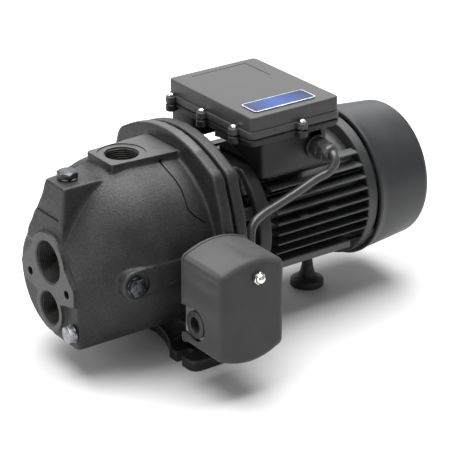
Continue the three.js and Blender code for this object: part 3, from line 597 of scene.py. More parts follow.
def screwed_plug(name, axis, a, b, face, out, shank_radius, width, height, body, slot, finish, turn_degrees):
    plug = hexagon_head(name, axis, a, b, face + out * 1.5, face + out * (1.5 + height), width, turn_degrees)
    washer = turned("washer", axis, a, b, [
        (face + out * 0.35, 0), (face + out * 0.35, width * 0.52), (face + out * 1.2, width * 0.55),
        (face + out * 1.7, width * 0.5), (face + out * 1.7, 0)], 64)
    shank = turned("shank", axis, a, b, lambda angle: [(face + out * 0.6, 0)] + [
        (face + out * 0.6 - out * 13 * k / 40,
         shank_radius - 0.7 * abs(2 * ((13 * k / 40 / 1.5 + angle / (2 * math.pi)) % 1.0) - 1))
        for k in range(41)] + [(face - out * 12.4, 0)], 48)
    combine(plug, "UNION", washer, shank)
    smooth_shade(plug, 30)
    return fit(plug, [name.replace("_turned", "")], body, slot, finish)


screwed_plug(
    "priming_plug_turned", "z", PRIMING_X, 0, RIDGE_TOP, 1, 6.9, 18.2, 6.5,
    "priming_plug_body", "steel", grey_phosphate, 12)
screwed_plug(
    "drain_plug_turned", "x", DRAIN["y"], DRAIN["z"], FACE_X - 1, -1, 5.1, 16, 6.5,
    "drain_plug_body", "nickel", zinc_plate, 30)
screwed_plug(
    "side_plug_turned", "y", SIDE_PAD["x"] - 2, SIDE_PAD["z"], SIDE_PAD["y"] + 0.3, -1, 5.1, 16.8, 6.5,
    "side_plug_body", "steel", dark_chromate, 0)


# ------------------------------------------------------------------------- the gasket
# A ring of pressed fibre sheet between casing and bracket, cut to the flange outline.
# Its grey-brown edge shows as a thin line, slightly squeezed out.
pressed_fibre, tree, surface, place = new_finish("pressed_fibre_sheet", 0.9)
fibre = speckle(tree, place, 0.9, 4.0)
tree.links.new(colour_steps(tree, fibre, (0.3, "#191817"), (0.7, "#2a2926")), surface.inputs["Base Color"])
raise_surface(tree, surface, fibre, 0.1, 0.6)
gasket = prism("fibre_gasket", "x", FLANGE[1] + 0.35, BACK_FLANGE[0] - 0.35, flange_outline(-5))
combine(gasket, "DIFFERENCE", bar("gasket_bore", "x", FLANGE[1] - 2, BACK_FLANGE[0] + 2, 80.6, 0, 0, 96),
        *[bar("gasket_hole", "x", FLANGE[1] - 2, BACK_FLANGE[0] + 2, 4.6, y, z, 24) for y, z in BOLTS])
eased(gasket, 0.5)
fit(gasket, ["casing_gasket"], "pump", "gasket", pressed_fibre)


# ------------------------------------------------------------------- the motor bracket
# The bracket is a second iron casting: flange, a windowed neck round the shaft, the
# ring that takes the motor, and the foot with two open bolt slots. Its flange face,
# ring face and foot are milled.
RING = {"x0": 191, "x1": 205, "r": 79, "flat": 64}
GROUND = -SHAFT.z / MM
TIE_RODS = [(side * 59.5, z) for side in (-1, 1) for z in (36, -38.5)]


def foot_outline():
    outline = [(BACK_FLANGE[1], -93), (BACK_FLANGE[1], 93), (112, 93)]
    outline += bowed_path((112, 93), ((102, 93), (102, 83)), steps=6)[1:] + [(102, 83), (102, 52)]
    outline += bowed_path((102, 52), ((118, 30), (120, 0)), ((118, -30), (102, -52)), steps=10)[1:]
    outline += [(102, -52), (102, -83)]
    return outline + bowed_path((102, -83), ((102, -93), (112, -93)), steps=6)[1:] + [(112, -93)]


def cast_bracket():
    x0, x1 = BACK_FLANGE
    body = prism("bracket_casting", "x", x0, x1, flange_outline(-1))
    neck = turned("neck", "x", 0, 0, [
        (x0 + 2, 0), (x0 + 2, 82), (x1 + 2, 79), (RING["x0"] + 2, 70), (RING["x0"] + 2, 0)])
    ring = bar("ring", "x", RING["x0"], RING["x1"] + 1, RING["r"], 0, 0, 96)
    above_flat = box_outline(-50, 50, RING["flat"], 90)
    combine(ring, "DIFFERENCE", prism("ring_flat", "x", RING["x0"] - 1, RING["x1"] + 2, above_flat))
    webs = [prism("web", "x", x0, x1, box_outline(y - 12, y + 12, GROUND + 6, -60)) for y in (-62, 62)]
    bosses = [bar("bolt_boss", "x", x1 - 2, x1 + 0.2, 10, y, z) for y, z in BOLTS]
    foot = prism("foot", "z", GROUND - 1, GROUND + 11, foot_outline())
    rib = [(x0 + 2, GROUND + 8), (108, GROUND + 8), (x0 + 2, GROUND + 30)]
    ribs = [prism("foot_rib", "y", y - 3, y + 3, rib) for y in (-46, 46)]
    combine(body, "UNION", neck, ring, foot, *webs, *bosses, *ribs)
    hollow = turned("hollow", "x", 0, 0, [
        (x1, 0), (x1, 71), (RING["x0"] - 2, 62), (RING["x0"] - 2, 56), (RING["x1"] + 3, 56),
        (RING["x1"] + 3, 0)])
    windows = []
    for near, far in ((-95, -50), (50, 95)):
        windows.append(prism("window", "x", 167, 187, box_outline(near, far, -30, 20)))
        windows.append(prism("upper_window", "x", 169, 187, box_outline(near, far, 32, 54)))
    combine(body, "DIFFERENCE", hollow, *windows)
    hub = turned("bearing_hub", "x", 0, 0, [(x1 - 2, 0), (x1 - 2, 27), (RING["x0"], 27), (RING["x0"], 0)])
    web_plate = bar("web_plate", "x", RING["x0"] - 3, RING["x0"], 60, 0, 0)
    combine(body, "UNION", hub, web_plate)
    cast(body, 1.45, 6)
    cuts = [
        prism("flange_cut", "x", x0 - 4, x0 + 0.05, box_outline(-130, 130, -105, 130)),
        prism("ring_cut", "x", RING["x1"], RING["x1"] + 5, box_outline(-100, 100, -100, 100)),
        prism("sole_cut", "z", GROUND - 5, GROUND, box_outline(90, 170, -100, 100)),
        bar("seal_seat_bore", "x", x0 - 2, 152.4, 16.4, 0, 0),
        bar("shaft_bore", "x", 140, RING["x1"] + 2, 11, 0, 0),
        bar("bearing_bore", "x", 172, RING["x0"] + 1, 20.4, 0, 0),
    ]
    for y, z in BOLTS:
        cuts.append(bar("bolt_hole", "x", x0 - 2, x1 + 2, 4.4, y, z, 32))
        cuts.append(bar("spot_face", "x", x1 - 0.35, x1 + 4, 9, y, z, 48))
    for y, z in TIE_RODS:
        cuts.append(bar("rod_hole", "x", RING["x0"] - 1, RING["x1"] + 2, 2.5, y, z, 24))
        cuts.append(bar("rod_pocket", "x", RING["x0"] - 14, RING["x0"], 6.4, y, z, 32))
    for y in (-69, 69):
        cuts.append(prism("slot", "z", GROUND - 2, GROUND + 14, box_outline(98, 113, y - 4.6, y + 4.6)))
        cuts.append(bar("slot_end", "z", GROUND - 2, GROUND + 14, 4.6, 113, y, 32))
    combine(body, "DIFFERENCE", *cuts)
    return smooth_shade(body, 40)


bracket = cast_bracket()
two_finishes(bracket, painted_casting, milled_face, lambda p, n: p.z < GROUND + 0.2 and n.z < -0.9)
fit(bracket, ["motor_bracket"], "pump", "casting")

# Four bolts clamp the two castings; their heads sit behind the bracket's corners.
for number, (y, z) in enumerate(BOLTS, 1):
    order = 1 + (0 if y < 0 else 1) + (0 if z > 0 else 2)
    seat, top = BACK_FLANGE[1] + 0.4, BACK_FLANGE[1] + 7
    bolt = hexagon_head(f"casing_bolt_turned_{order}", "x", y, z, seat, top, 12, 17 * number)
    shank = bar("shank", "x", FLANGE[0] + 4, BACK_FLANGE[1] + 2, 4, y, z, 32)
    combine(bolt, "UNION", shank)
    smooth_shade(bolt, 30)
    fit(bolt, [f"casing_bolt_{order}"], "pump", "steel", black_oxide)


# ------------------------------------------------------------------------ the motor body
# The motor body is die-cast aluminium: a thin barrel, flat on top for the terminal
# box, with cooling fins that taper to round tips. It is sprayed semi-gloss black, and
# the fin tips are painted lighter: paint worn thin there, and a painted highlight.
STATOR = {"x0": 205.35, "x1": 330, "core": 62, "reach": 76}
FINS = {"pitch": 10.7, "first": -1.6, "x0": 216, "x1": 329}
REAR_FOOT_X = 311

semi_gloss_diecast, tree, surface, place = new_finish("semi_gloss_black_on_die_cast_aluminium", 0.38)
flow = speckle(tree, place, 14, 3.0)
orange_peel = speckle(tree, place, 1.8, 2.0)
# Fin tips and other convex edges are painted lighter: thin paint and a painted highlight.
edge = add_node(tree, "ShaderNodeNewGeometry").outputs["Pointiness"]
wear_and_highlight_edge_mask = colour_steps(tree, edge, (0.53, "#000000"), (0.68, "#8a8a8a"))
coat = colour_steps(tree, flow, (0.3, "#141415"), (0.7, "#1f2021"))
worn_and_highlit = add_node(tree, "ShaderNodeMix", {"data_type": "RGBA", 7: linear("#6a6b6c")}, {0: wear_and_highlight_edge_mask, 6: coat})
tree.links.new(worn_and_highlit.outputs[2], surface.inputs["Base Color"])
raise_surface(tree, surface, orange_peel, 0.12, 0.5)


def fin_outline(side, z, reach):
    """One fin seen from the end: 3.2 mm thick at the root, 1.9 mm at its rounded tip."""
    tip = [(side * (reach - 0.95 + 0.95 * math.cos(t)), z + 0.95 * math.sin(t))
           for t in (math.radians(90 - 30 * k) for k in range(7))]
    return [(side * 44, z + 1.6)] + tip + [(side * 44, z - 1.6)]


def diecast_frame():
    body = bar("stator_diecasting", "x", STATOR["x0"], STATOR["x1"], STATOR["core"], 0, 0, 128)
    parts = []
    for level in range(-2, 6):
        z = FINS["first"] + level * FINS["pitch"]
        reach = math.sqrt(STATOR["reach"] ** 2 - z * z)
        for side in (-1, 1):
            fin = prism("fin", "x", FINS["x0"], FINS["x1"], fin_outline(side, z, reach))
            parts.append(fin)
    for side in (-1, 1):
        rail = ((30, -42.5), (67, -42.5), (68, -41.5), (68, -35.5), (67, -34.5), (30, -34.5))
        parts.append(prism("bottom_rail", "x", FINS["x0"], 312, [(side * y, z) for y, z in rail]))
        for x in (249, 284):
            parts.append(prism("ejector_pad", "x", x - 5, x + 5, [
                (side * 55, 6.6), (side * 74.6, 7.6), (side * 74.6, 10.6), (side * 55, 11.6)]))
    parts.append(prism("foot_boss", "x", FINS["x0"], 312, box_outline(-9, 9, -72, -50)))
    parts.append(prism("box_pad", "z", 40, 66, box_outline(208, 280, -34, 16, 4)))
    combine(body, "UNION", *parts)
    cuts = [bar("bore", "x", STATOR["x0"] - 2, STATOR["x1"] + 2, 57, 0, 0, 96),
            bar("lead_hole", "z", 50, 70, 7, 243, -9, 32),
            bar("foot_hole", "z", -75, -50, 4.6, REAR_FOOT_X, 0, 32)]
    cuts += [bar("rod_hole", "x", 200, 335, 2.5, y, z, 24) for y, z in TIE_RODS]
    combine(body, "DIFFERENCE", *cuts)
    return smooth_shade(body, 32)


fit(diecast_frame(), ["stator_frame"], "pump", "motor_alloy", semi_gloss_diecast)


# -------------------------------------------------------------- end shield and tie rods
# The end shield is a shallow die-cast dish behind the fins that holds the rear
# bearing. Four long plated rods pull it and the motor body up to the bracket ring.
SHIELD = {"x0": 330.35, "x1": 342, "r": 74}
shield = turned("end_shield_diecasting", "x", 0, 0, [
    (SHIELD["x0"], 58), (SHIELD["x0"], SHIELD["r"] - 0.8), (SHIELD["x0"] + 0.8, SHIELD["r"]),
    (SHIELD["x1"] - 1, SHIELD["r"]),
    (SHIELD["x1"], SHIELD["r"] - 1), (SHIELD["x1"] + 3, 68), (SHIELD["x1"] + 7, 66), (SHIELD["x1"] + 7, 12),
    (SHIELD["x0"] + 6, 12), (SHIELD["x0"] + 6, 20.4), (SHIELD["x0"] - 8, 20.4), (SHIELD["x0"] - 8, 27),
    (SHIELD["x0"] + 3, 27), (SHIELD["x0"] + 3, 58)], 128)
combine(shield, "DIFFERENCE", *[
    bar("rod_hole", "x", SHIELD["x0"] - 2, SHIELD["x1"] + 9, 2.4, y, z, 24) for y, z in TIE_RODS])
smooth_shade(shield, 32)
fit(shield, ["end_shield"], "pump", "motor_alloy", semi_gloss_diecast)

for number, (y, z) in enumerate(TIE_RODS, 1):
    seat, top = RING["x0"] - 0.4, RING["x0"] - 4.8
    rod = hexagon_head(f"tie_rod_turned_{number}", "x", y, z, seat, top, 7, 11 * number)
    combine(rod, "UNION", bar("rod", "x", RING["x0"] - 1, SHIELD["x1"] + 1, 2, y, z, 24))
    smooth_shade(rod, 30)
    fit(rod, [f"tie_rod_{number}"], "pump", "steel", black_oxide)


# ----------------------------------------------------------------------- the fan cover
# A deep-drawn cap of thin steel over the fan, with a rolled front edge and a punched
# grille in its end. It is sprayed satin dark grey, which lies smooth over the draw.
COVER = {"x0": 343.5, "x1": 414, "r0": 76.5, "r1": 72, "wall": 2.2}
satin_steel_paint, tree, surface, place = new_finish("satin_grey_paint_on_drawn_steel", 0.4)
surface.inputs["Specular IOR Level"].default_value = 0.33
peel = speckle(tree, place, 2.2, 2.0)
cloud = speckle(tree, place, 30, 2.0)
tree.links.new(colour_steps(tree, cloud, (0.3, "#222325"), (0.7, "#292a2c")), surface.inputs["Base Color"])
spread = add_node(tree, "ShaderNodeMapRange", {"To Min": 0.34, "To Max": 0.46}, {"Value": cloud})
tree.links.new(spread.outputs["Result"], surface.inputs["Roughness"])
raise_surface(tree, surface, peel, 0.06, 0.4)


def drawn_cover():
    x0, x1, r0, r1, wall = (COVER[k] for k in ("x0", "x1", "r0", "r1", "wall"))
    outer_turns = [math.radians(10 * k) for k in range(10)]
    inner_turns = [math.radians(90 - 15 * k) for k in range(7)]
    shoulder = [(x1 - 9 + 9 * math.sin(t), r1 - 9 + 9 * math.cos(t) - 0.3) for t in outer_turns]
    inner = [(x1 - 9 + 6.8 * math.sin(t), r1 - 9 + 6.8 * math.cos(t) - 0.3) for t in inner_turns]
    profile = [(x0, r0 - wall), (x0, r0 + 0.4), (x0 + 0.6, r0 + 1.2), (x0 + 3, r0 + 1.2)]
    profile += [(x0 + 3.8, r0 + 0.5), (x0 + 4.6, r0)]
    profile += [
        (x0 + 4.6 + (x1 - 9 - x0 - 4.6) * k / 8, r0 + (r1 - 0.3 - r0) * (k / 8) ** 1.15)
        for k in range(1, 8)]
    profile += shoulder + [(x1, 10), (x1 - wall, 10)] + inner + [(x0 + 4, r0 - wall)]
    cover = turned("drawn_fan_cover", "x", 0, 0, profile, 160)
    slots = []
    for radius, count in ((24, 4), (39, 6), (54, 8)):
        sector = 2 * math.pi / count
        for i in range(count):
            first, last = i * sector + 0.12, (i + 1) * sector - 0.12
            sweep = [first + (last - first) * k / 12 for k in range(13)]
            outline = [((radius + 4.5) * math.cos(t), (radius + 4.5) * math.sin(t)) for t in sweep]
            outline += [((radius - 4.5) * math.cos(t), (radius - 4.5) * math.sin(t)) for t in reversed(sweep)]
            slots.append(prism("slot", "x", x1 - 6, x1 + 3, outline))
    combine(cover, "DIFFERENCE", *slots)
    return smooth_shade(cover, 30)


fit(drawn_cover(), ["fan_cover"], "pump", "cover_shell", satin_steel_paint)


# ----------------------------------------------------------------- the terminal box
# A tub moulded in black glass-filled nylon sits on the motor's flat top, with a deeper
# bay for the capacitor beside it. Its rim has eight lugs, each moulded round a screw.
TUB = {"x0": 205, "x1": 286, "y0": -60, "y1": 20, "z0": 55}
BAY = {"x0": 188, "x1": 290, "y0": 28, "y1": 68, "z0": 74}
RIM = {"x0": 184.5, "x1": 294, "half": 71, "deck": 94.5, "z0": 98, "z1": 101.6}
LID = {"x0": 186.3, "x1": 292.2, "half": 69.4, "z0": 103.2, "rim_top": 110, "z1": 124.7}
BOX_WALL = 3
GLAND = {"x": 271, "z": 74.5}
LUGS = [(x, y) for x in (RIM["x0"] - 2.3, RIM["x1"] + 2.3) for y in (-47, 6, 59)]
LUGS += [(244, side * (RIM["half"] + 2.4)) for side in (-1, 1)]


def moulded_plastic(name, dark, light, roughness, grain_mm, grain_depth_mm, edge_wear_and_highlight_colour=None, shine=0.5):
    """Fine spark-eroded grain from the mould, slow changes of gloss, and, given a colour, paler corners:
    rubbed wear and a painted highlight.
    """
    finish, tree, surface, place = new_finish(name, roughness)
    surface.inputs["Specular IOR Level"].default_value = shine
    flow = speckle(tree, place, 24, 3.0)
    grain = speckle(tree, place, grain_mm, 3.0, 0.5)
    tone = colour_steps(tree, flow, (0.3, dark), (0.72, light))
    # Convex corners are painted paler: rubbed wear and a painted highlight.
    if edge_wear_and_highlight_colour:
        edge = add_node(tree, "ShaderNodeNewGeometry").outputs["Pointiness"]
        wear_and_highlight_corner_mask = colour_steps(tree, edge, (0.53, "#000000"), (0.7, "#808080"))
        worn_and_highlit = {"data_type": "RGBA", 7: linear(edge_wear_and_highlight_colour)}
        tone = add_node(tree, "ShaderNodeMix", worn_and_highlit, {0: wear_and_highlight_corner_mask, 6: tone}).outputs[2]
    tree.links.new(tone, surface.inputs["Base Color"])
    gloss = {"To Min": roughness - 0.05, "To Max": roughness + 0.08}
    spread = add_node(tree, "ShaderNodeMapRange", gloss, {"Value": flow})
    tree.links.new(spread.outputs["Result"], surface.inputs["Roughness"])
    raise_surface(tree, surface, grain, grain_depth_mm, 0.6)
    return finish


black_nylon = moulded_plastic(
    "grained_black_glass_filled_nylon", "#101011", "#19191a", 0.46, 0.9, 0.08, "#454546", 0.35)


def soft_slab(name, axis, start, end, outline_box, corner, ease=0.6, steps=3):
    """A moulded block: rounded upright corners and a small radius round its two faces."""
    a0, a1, b0, b1 = outline_box
    turns = [math.radians(90 * k / steps) for k in range(steps + 1)]
    out = 1 if end > start else -1
    stations = [(start + out * ease * (1 - math.cos(t)), ease * (1 - math.sin(t))) for t in turns]
    stations += [(end - out * ease * (1 - math.cos(t)), ease * (1 - math.sin(t))) for t in reversed(turns)]
    rings = []
    for distance, inset in stations:
        ring = box_outline(a0 + inset, a1 - inset, b0 + inset, b1 - inset, corner - inset)
        rings.append([along(axis, distance, a, b) for a, b in ring])
    return loft(name, rings)


def post(name, axis, start, end, radius, a, b, ease=0.4, sides=48):
    """A round post or disc with its edges broken."""
    out = 1 if end > start else -1
    return turned(name, axis, a, b, [
        (start, 0), (start, radius - ease), (start + out * ease, radius),
        (end - out * ease, radius), (end, radius - ease), (end, 0)], sides)


def footprint(area, inset=0.0):
    return area["x0"] + inset, area["x1"] - inset, area["y0"] + inset, area["y1"] - inset


def rim_band(name, z0, z1, lug_z0):
    band = soft_slab(name, "z", z0, z1, (RIM["x0"], RIM["x1"], -RIM["half"], RIM["half"]), 7, 0.7)
    combine(band, "UNION", *[post("lug", "z", lug_z0, z1, 5.5, x, y, 0.7) for x, y in LUGS])
    return band


def moulded_box():
    deck_area = {"x0": BAY["x0"], "x1": BAY["x1"], "y0": -67, "y1": 68}
    body = rim_band("terminal_box_moulding", RIM["z0"], RIM["z1"], RIM["deck"])
    tub = soft_slab("tub", "z", TUB["z0"], RIM["deck"] + 1, footprint(TUB), 5)
    bay = soft_slab("bay", "z", BAY["z0"], RIM["deck"] + 1, footprint(BAY), 4, 1.2)
    deck = soft_slab("deck", "z", RIM["deck"], RIM["z0"] + 1, footprint(deck_area), 6)
    under_rim = (RIM["x0"] + 1.4, RIM["x1"] - 1.4, -69.6, 69.6)
    skirt = soft_slab("skirt", "z", RIM["deck"] + 0.5, RIM["z0"] + 1, under_rim, 6)
    combine(body, "UNION", tub, bay, deck, skirt)
    cuts = [
        soft_slab("tub_hollow", "z", 80, RIM["z1"] + 1, footprint(TUB, BOX_WALL), 3),
        soft_slab("bay_hollow", "z", BAY["z0"] + 4, RIM["z1"] + 1, footprint(BAY, BOX_WALL), 3),
        soft_slab("rim_hollow", "z", RIM["z0"], RIM["z1"] + 1, footprint(deck_area, 2.5), 5),
        bar("saddle", "x", TUB["x0"] - 1, TUB["x1"] + 1, STATOR["reach"] + 1, 0, 0, 128),
        bar("wire_hole", "z", 60, 82, 7, 243, -9, 32),
        bar("gland_hole", "y", TUB["y0"] - 1, TUB["y0"] + 6, 7.4, GLAND["x"], 86, 32),
    ]
    cuts += [bar("screw_hole", "z", RIM["deck"] - 4, RIM["z1"] + 1, 2.1, x, y, 24) for x, y in LUGS]
    combine(body, "DIFFERENCE", *cuts)
    return smooth_shade(body, 30)


fit(moulded_box(), ["terminal_box"], "pump", "black_plastic", black_nylon)


# -------------------------------------------------------------- inside the terminal box
# The run capacitor is a moulded can held in the bay. The terminal block is cream nylon
# with a row of brass clamps, each worked by a slotted screw.
capacitor_can = moulded_plastic("matt_black_capacitor_can", "#1b1b1c", "#262627", 0.5, 1.2, 0.06)
can = turned("capacitor_can", "x", 48, 91, [
    (200, 0), (200, 9.8), (200.5, 10.9), (201.6, 11.6), (203.2, 12), (258, 12), (259, 11.2), (260.4, 11.2),
    (261.4, 12), (267, 12), (269, 11.4), (270, 10.2), (270, 8.8), (268.8, 8.2), (268.8, 0)], 64)
fit(smooth_shade(can, 40), ["run_capacitor"], "pump", "black_plastic", capacitor_can)

cream_nylon = moulded_plastic("cream_nylon_moulding", "#b9ae93", "#c9bfa6", 0.5, 1.0, 0.05)
brass_clamp = plated_steel("turned_brass_clamp", "#9a7b3c", "#c9a75a", 0.28)


def wired_terminals():
    block = soft_slab("terminal_strip", "z", 81, 96, (222, 262, -46, -20), 1.6, 0.8)
    places = [226.5 + 9 * k for k in range(4)]
    cuts = []
    for x in places:
        cuts.append(bar("screw_well", "z", 88, 97, 2.9, x, -33, 24))
        cuts.append(bar("wire_way", "y", -47, -19, 2.0, x, 85, 24))
    cuts += [prism("partition", "x", x + 4.1, x + 4.9, box_outline(-47, -19, 92, 97)) for x in places[:-1]]
    combine(block, "DIFFERENCE", *cuts)
    screws = []
    for x in places:
        screw = post("clamp_screw", "z", 87.5, 91.5, 2.6, x, -33, 0.3, 24)
        combine(screw, "DIFFERENCE", prism("slot", "z", 90.6, 92, box_outline(x - 3, x + 3, -33.4, -32.6)))
        screws.append(screw)
    combine(block, "UNION", *screws)
    return smooth_shade(block, 30)


terminal_strip = wired_terminals()
two_finishes(
    terminal_strip, cream_nylon, brass_clamp,
    lambda p, n: 87 < p.z < 91.8 and min(abs(p.x - 226.5 - 9 * k) for k in range(4)) < 2.7
    and abs(p.y + 33) < 2.7)
fit(terminal_strip, ["terminal_block"], "pump", "inner_plastic")


# ------------------------------------------------------------------- the lid gasket
# A flat ring of nitrile rubber lies on the box's rim under the lid.
nitrile = moulded_plastic("nitrile_rubber_sheet", "#161616", "#202020", 0.72, 1.4, 0.08)
seal_area = {"x0": RIM["x0"], "x1": RIM["x1"], "y0": -RIM["half"], "y1": RIM["half"]}
lid_seal = soft_slab("lid_seal", "z", RIM["z1"] + 0.2, LID["z0"] - 0.2, footprint(seal_area, 1.5), 6, 0.3)
combine(lid_seal, "DIFFERENCE",
        soft_slab("seal_hole", "z", RIM["z1"] - 1, LID["z0"] + 1, footprint(seal_area, 6), 5),
        *[bar("screw_relief", "z", RIM["z1"] - 1, LID["z0"] + 1, 6.4, x, y, 32) for x, y in LUGS])
smooth_shade(lid_seal, 40)
fit(lid_seal, ["terminal_box_gasket"], "pump", "rubber", nitrile)


# -------------------------------------------------------------------------- the lid
# The lid is a shallow tray in charcoal ABS, with a fine even grain on its top. A thin
# line is moulded into the top, and eight nickel-plated screws hold it to the box.
charcoal_abs = moulded_plastic("satin_charcoal_abs", "#2d2d2e", "#353536", 0.46, 0.8, 0.05, "#565657", 0.4)


def moulded_lid():
    lid = rim_band("lid_moulding", LID["z0"], LID["rim_top"], LID["z0"])
    x0, x1, half = LID["x0"], LID["x1"], LID["half"]
    tray = soft_slab("tray", "z", LID["rim_top"] - 1, LID["z1"], (x0, x1, -half, half), 5, 1.6, 5)
    combine(lid, "UNION", tray)
    inside = (x0 + 3, x1 - 3, 3 - half, half - 3)
    cuts = [soft_slab("tray_hollow", "z", LID["z0"] - 1, LID["z1"] - 3, inside, 4)]
    cuts += [bar("screw_hole", "z", LID["z0"] - 1, LID["z1"] + 1, 2.1, x, y, 24) for x, y in LUGS]
    line_top = LID["z1"] + 0.5
    line_bottom = LID["z1"] - 0.55
    for name, line in (
            ("long_line", [(207.3, 58.2), (274, 59.6), (274, 60.6), (207.3, 59.2)]),
            ("short_line", [(273, 18.1), (274, 18.1), (274, 60.6), (273, 60.6)])):
        cuts.append(prism(name, "z", line_bottom, line_top, line))
    combine(lid, "DIFFERENCE", *cuts)
    return smooth_shade(lid, 30)


fit(moulded_lid(), ["terminal_box_lid"], "lid", "lid_shell", charcoal_abs)


def lid_screw(name, x, y):
    seat = LID["rim_top"] + 0.35
    head = [(seat, 0), (seat, 3.3), (seat + 0.3, 3.6), (seat + 1.2, 3.6)]
    turns = [math.radians(15 * k) for k in range(1, 6)]
    head += [(seat + 1.2 + 1.85 * math.sin(t), 3.6 * math.cos(t)) for t in turns]
    screw = turned(name, "z", x, y, head + [(seat + 3.05, 0)], 40)
    combine(screw, "UNION", bar("shank", "z", RIM["z0"] - 1, seat + 0.5, 1.75, x, y, 24))
    arms = [prism("arm", "z", seat + 1.7, seat + 4, box_outline(x - a, x + a, y - b, y + b))
            for a, b in ((2.0, 0.45), (0.45, 2.0))]
    combine(screw, "DIFFERENCE", *arms)
    return smooth_shade(screw, 40)


for number, (x, y) in enumerate(LUGS, 1):
    screw = lid_screw(f"lid_screw_turned_{number}", x, y)
    fit(screw, [f"lid_screw_{number}"], "lid", "nickel", bright_nickel)


# ------------------------------------------------------------------------ the badge
# A plain pressed aluminium badge is stuck on the lid: a blue enamelled panel inside a
# bright raised border, with nothing written on it.
BADGE = {"x0": 198, "x1": 272, "y0": -60, "y1": -35}
blue_enamel, tree, surface, place = new_finish("blue_enamel_on_pressed_aluminium", 0.42)
surface.inputs["Specular IOR Level"].default_value = 0.2
# The blue is painted paler across the middle of the panel and darker towards both ends, a painted sheen.
across = add_node(tree, "ShaderNodeSeparateXYZ", links={"Vector": place}).outputs["X"]
middle_x = row((BADGE["x0"] + BADGE["x1"]) / 2, 0, 0).x
painted_sheen_span = {"From Min": middle_x - 0.037, "From Max": middle_x + 0.037}
sweep = add_node(tree, "ShaderNodeMapRange", painted_sheen_span, {"Value": across})
tone = colour_steps(tree, sweep.outputs["Result"], (0.0, "#081a40"), (0.45, "#143a78"), (1.0, "#07173a"))
tree.links.new(tone, surface.inputs["Base Color"])
raise_surface(tree, surface, speckle(tree, place, 1.6, 2.0), 0.03, 0.3)
bright_border = plated_steel("bright_rolled_aluminium", "#b4b7bb", "#dcdee0", 0.24)
badge = soft_slab("pressed_badge", "z", LID["z1"] + 0.35, LID["z1"] + 1.2, footprint(BADGE), 4, 0.35)
combine(badge, "DIFFERENCE", soft_slab(
    "panel", "z", LID["z1"] + 0.9, LID["z1"] + 2, footprint(BADGE, 1.3), 2.9, 0.2))
two_finishes(badge, bright_border, blue_enamel, lambda p, n: n.z > 0.95 and p.z < LID["z1"] + 1.05)
smooth_shade(badge, 30)
fit(badge, ["lid_badge"], "lid", "badge")


# ------------------------------------------------------------------- the cable gland
# The gland is black nylon: a hexagon body screwed into the tub's wall, and a domed nut
# that squeezes a ring of fingers on to the cable.
gland_nylon = moulded_plastic("satin_black_gland_nylon", "#272728", "#333334", 0.34, 1.1, 0.04, "#666668")


def gland_parts():
    wall = TUB["y0"] - 0.35
    x, z = GLAND["x"], GLAND["z"]
    body = hexagon_head("gland_body_moulding", "y", x, z, wall - 3, wall - 13.6, 19, 8)
    collar = post("collar", "y", wall, wall - 3.4, 12.5, x, z, 0.8)
    combine(body, "UNION", collar)
    combine(body, "DIFFERENCE", bar("cable_hole", "y", -80, -50, 4.8, x, z, 32))
    nut = hexagon_head("gland_nut_moulding", "y", x, z, -74.4, -82.4, 18.6, 22)
    dome = turned("dome", "y", x, z, [
        (-81, 0), (-81, 8.9), (-83.2, 8.8), (-85.2, 8), (-86.5, 6.9), (-87, 5.9), (-87, 0)], 48)
    combine(nut, "UNION", dome)
    combine(nut, "DIFFERENCE", bar("cable_hole", "y", -90, -70, 5.0, x, z, 32))
    return smooth_shade(body, 30), smooth_shade(nut, 30)


gland_body, gland_nut = gland_parts()
fit(gland_body, ["gland_body"], "pump", "black_plastic", gland_nylon)
fit(gland_nut, ["gland_nut"], "pump", "black_plastic", gland_nylon)


# ----------------------------------------------------------------- the pressure lead
# Three cores run in a 9 mm black PVC jacket from the gland to the pressure switch. The
# jacket is smooth and satin, and it bends stiffly down past the motor ring.
LEAD_ROUTE = [
    (271, -61.5, 74.5), (271, -75, 74.5), (271, -88, 74.5), (269.5, -93.5, 69), (263, -92, 60),
    (251, -88.5, 54.5), (227, -87, 45), (205, -85.5, 37), (189, -85, 31.5), (176, -87, 24), (169, -93, 12),
    (167.5, -101, -4), (168, -110, -20), (169, -118, -32), (165.5, -123, -38.3), (159, -124, -39),
    (151, -124, -39),
]
LEAD_R = 4.5


def smooth_route(points, steps=8):
    """A centripetal Catmull-Rom curve through the points."""
    knots = [Vector(p) for p in points]
    knots = [2 * knots[0] - knots[1]] + knots + [2 * knots[-1] - knots[-2]]
    route = []
    for k in range(1, len(knots) - 2):
        p = knots[k - 1 : k + 3]
        t = [0.0]
        for a, b in zip(p, p[1:]):
            t.append(t[-1] + (b - a).length ** 0.5)
        for i in range(steps):
            u = t[1] + (t[2] - t[1]) * i / steps
            a = [p[n] + (p[n + 1] - p[n]) * ((u - t[n]) / (t[n + 1] - t[n])) for n in range(3)]
            b = [a[n] + (a[n + 1] - a[n]) * ((u - t[n]) / (t[n + 2] - t[n])) for n in range(2)]
            route.append(b[0] + (b[1] - b[0]) * ((u - t[1]) / (t[2] - t[1])))
    return route + [knots[-2]]


def drawn_round(name, route, radius, sides=24):
    """A round wire or cable that follows a route, closed at both ends."""
    rings = []
    side = (route[1] - route[0]).orthogonal().normalized()
    for k, centre in enumerate(route):
        ahead = (route[min(k + 1, len(route) - 1)] - route[max(k - 1, 0)]).normalized()
        side = (side - ahead * side.dot(ahead)).normalized()
        up = ahead.cross(side)
        turns = [2 * math.pi * i / sides for i in range(sides)]
        rings.append([tuple(centre + side * radius * math.cos(t) + up * radius * math.sin(t)) for t in turns])
    return loft(name, rings)


pvc_jacket = moulded_plastic("satin_black_pvc_jacket", "#262627", "#313132", 0.28, 2.2, 0.04)
lead = smooth_shade(drawn_round("pvc_lead", smooth_route(LEAD_ROUTE), LEAD_R), 60)
fit(lead, ["switch_lead"], "pump", "black_plastic", pvc_jacket)


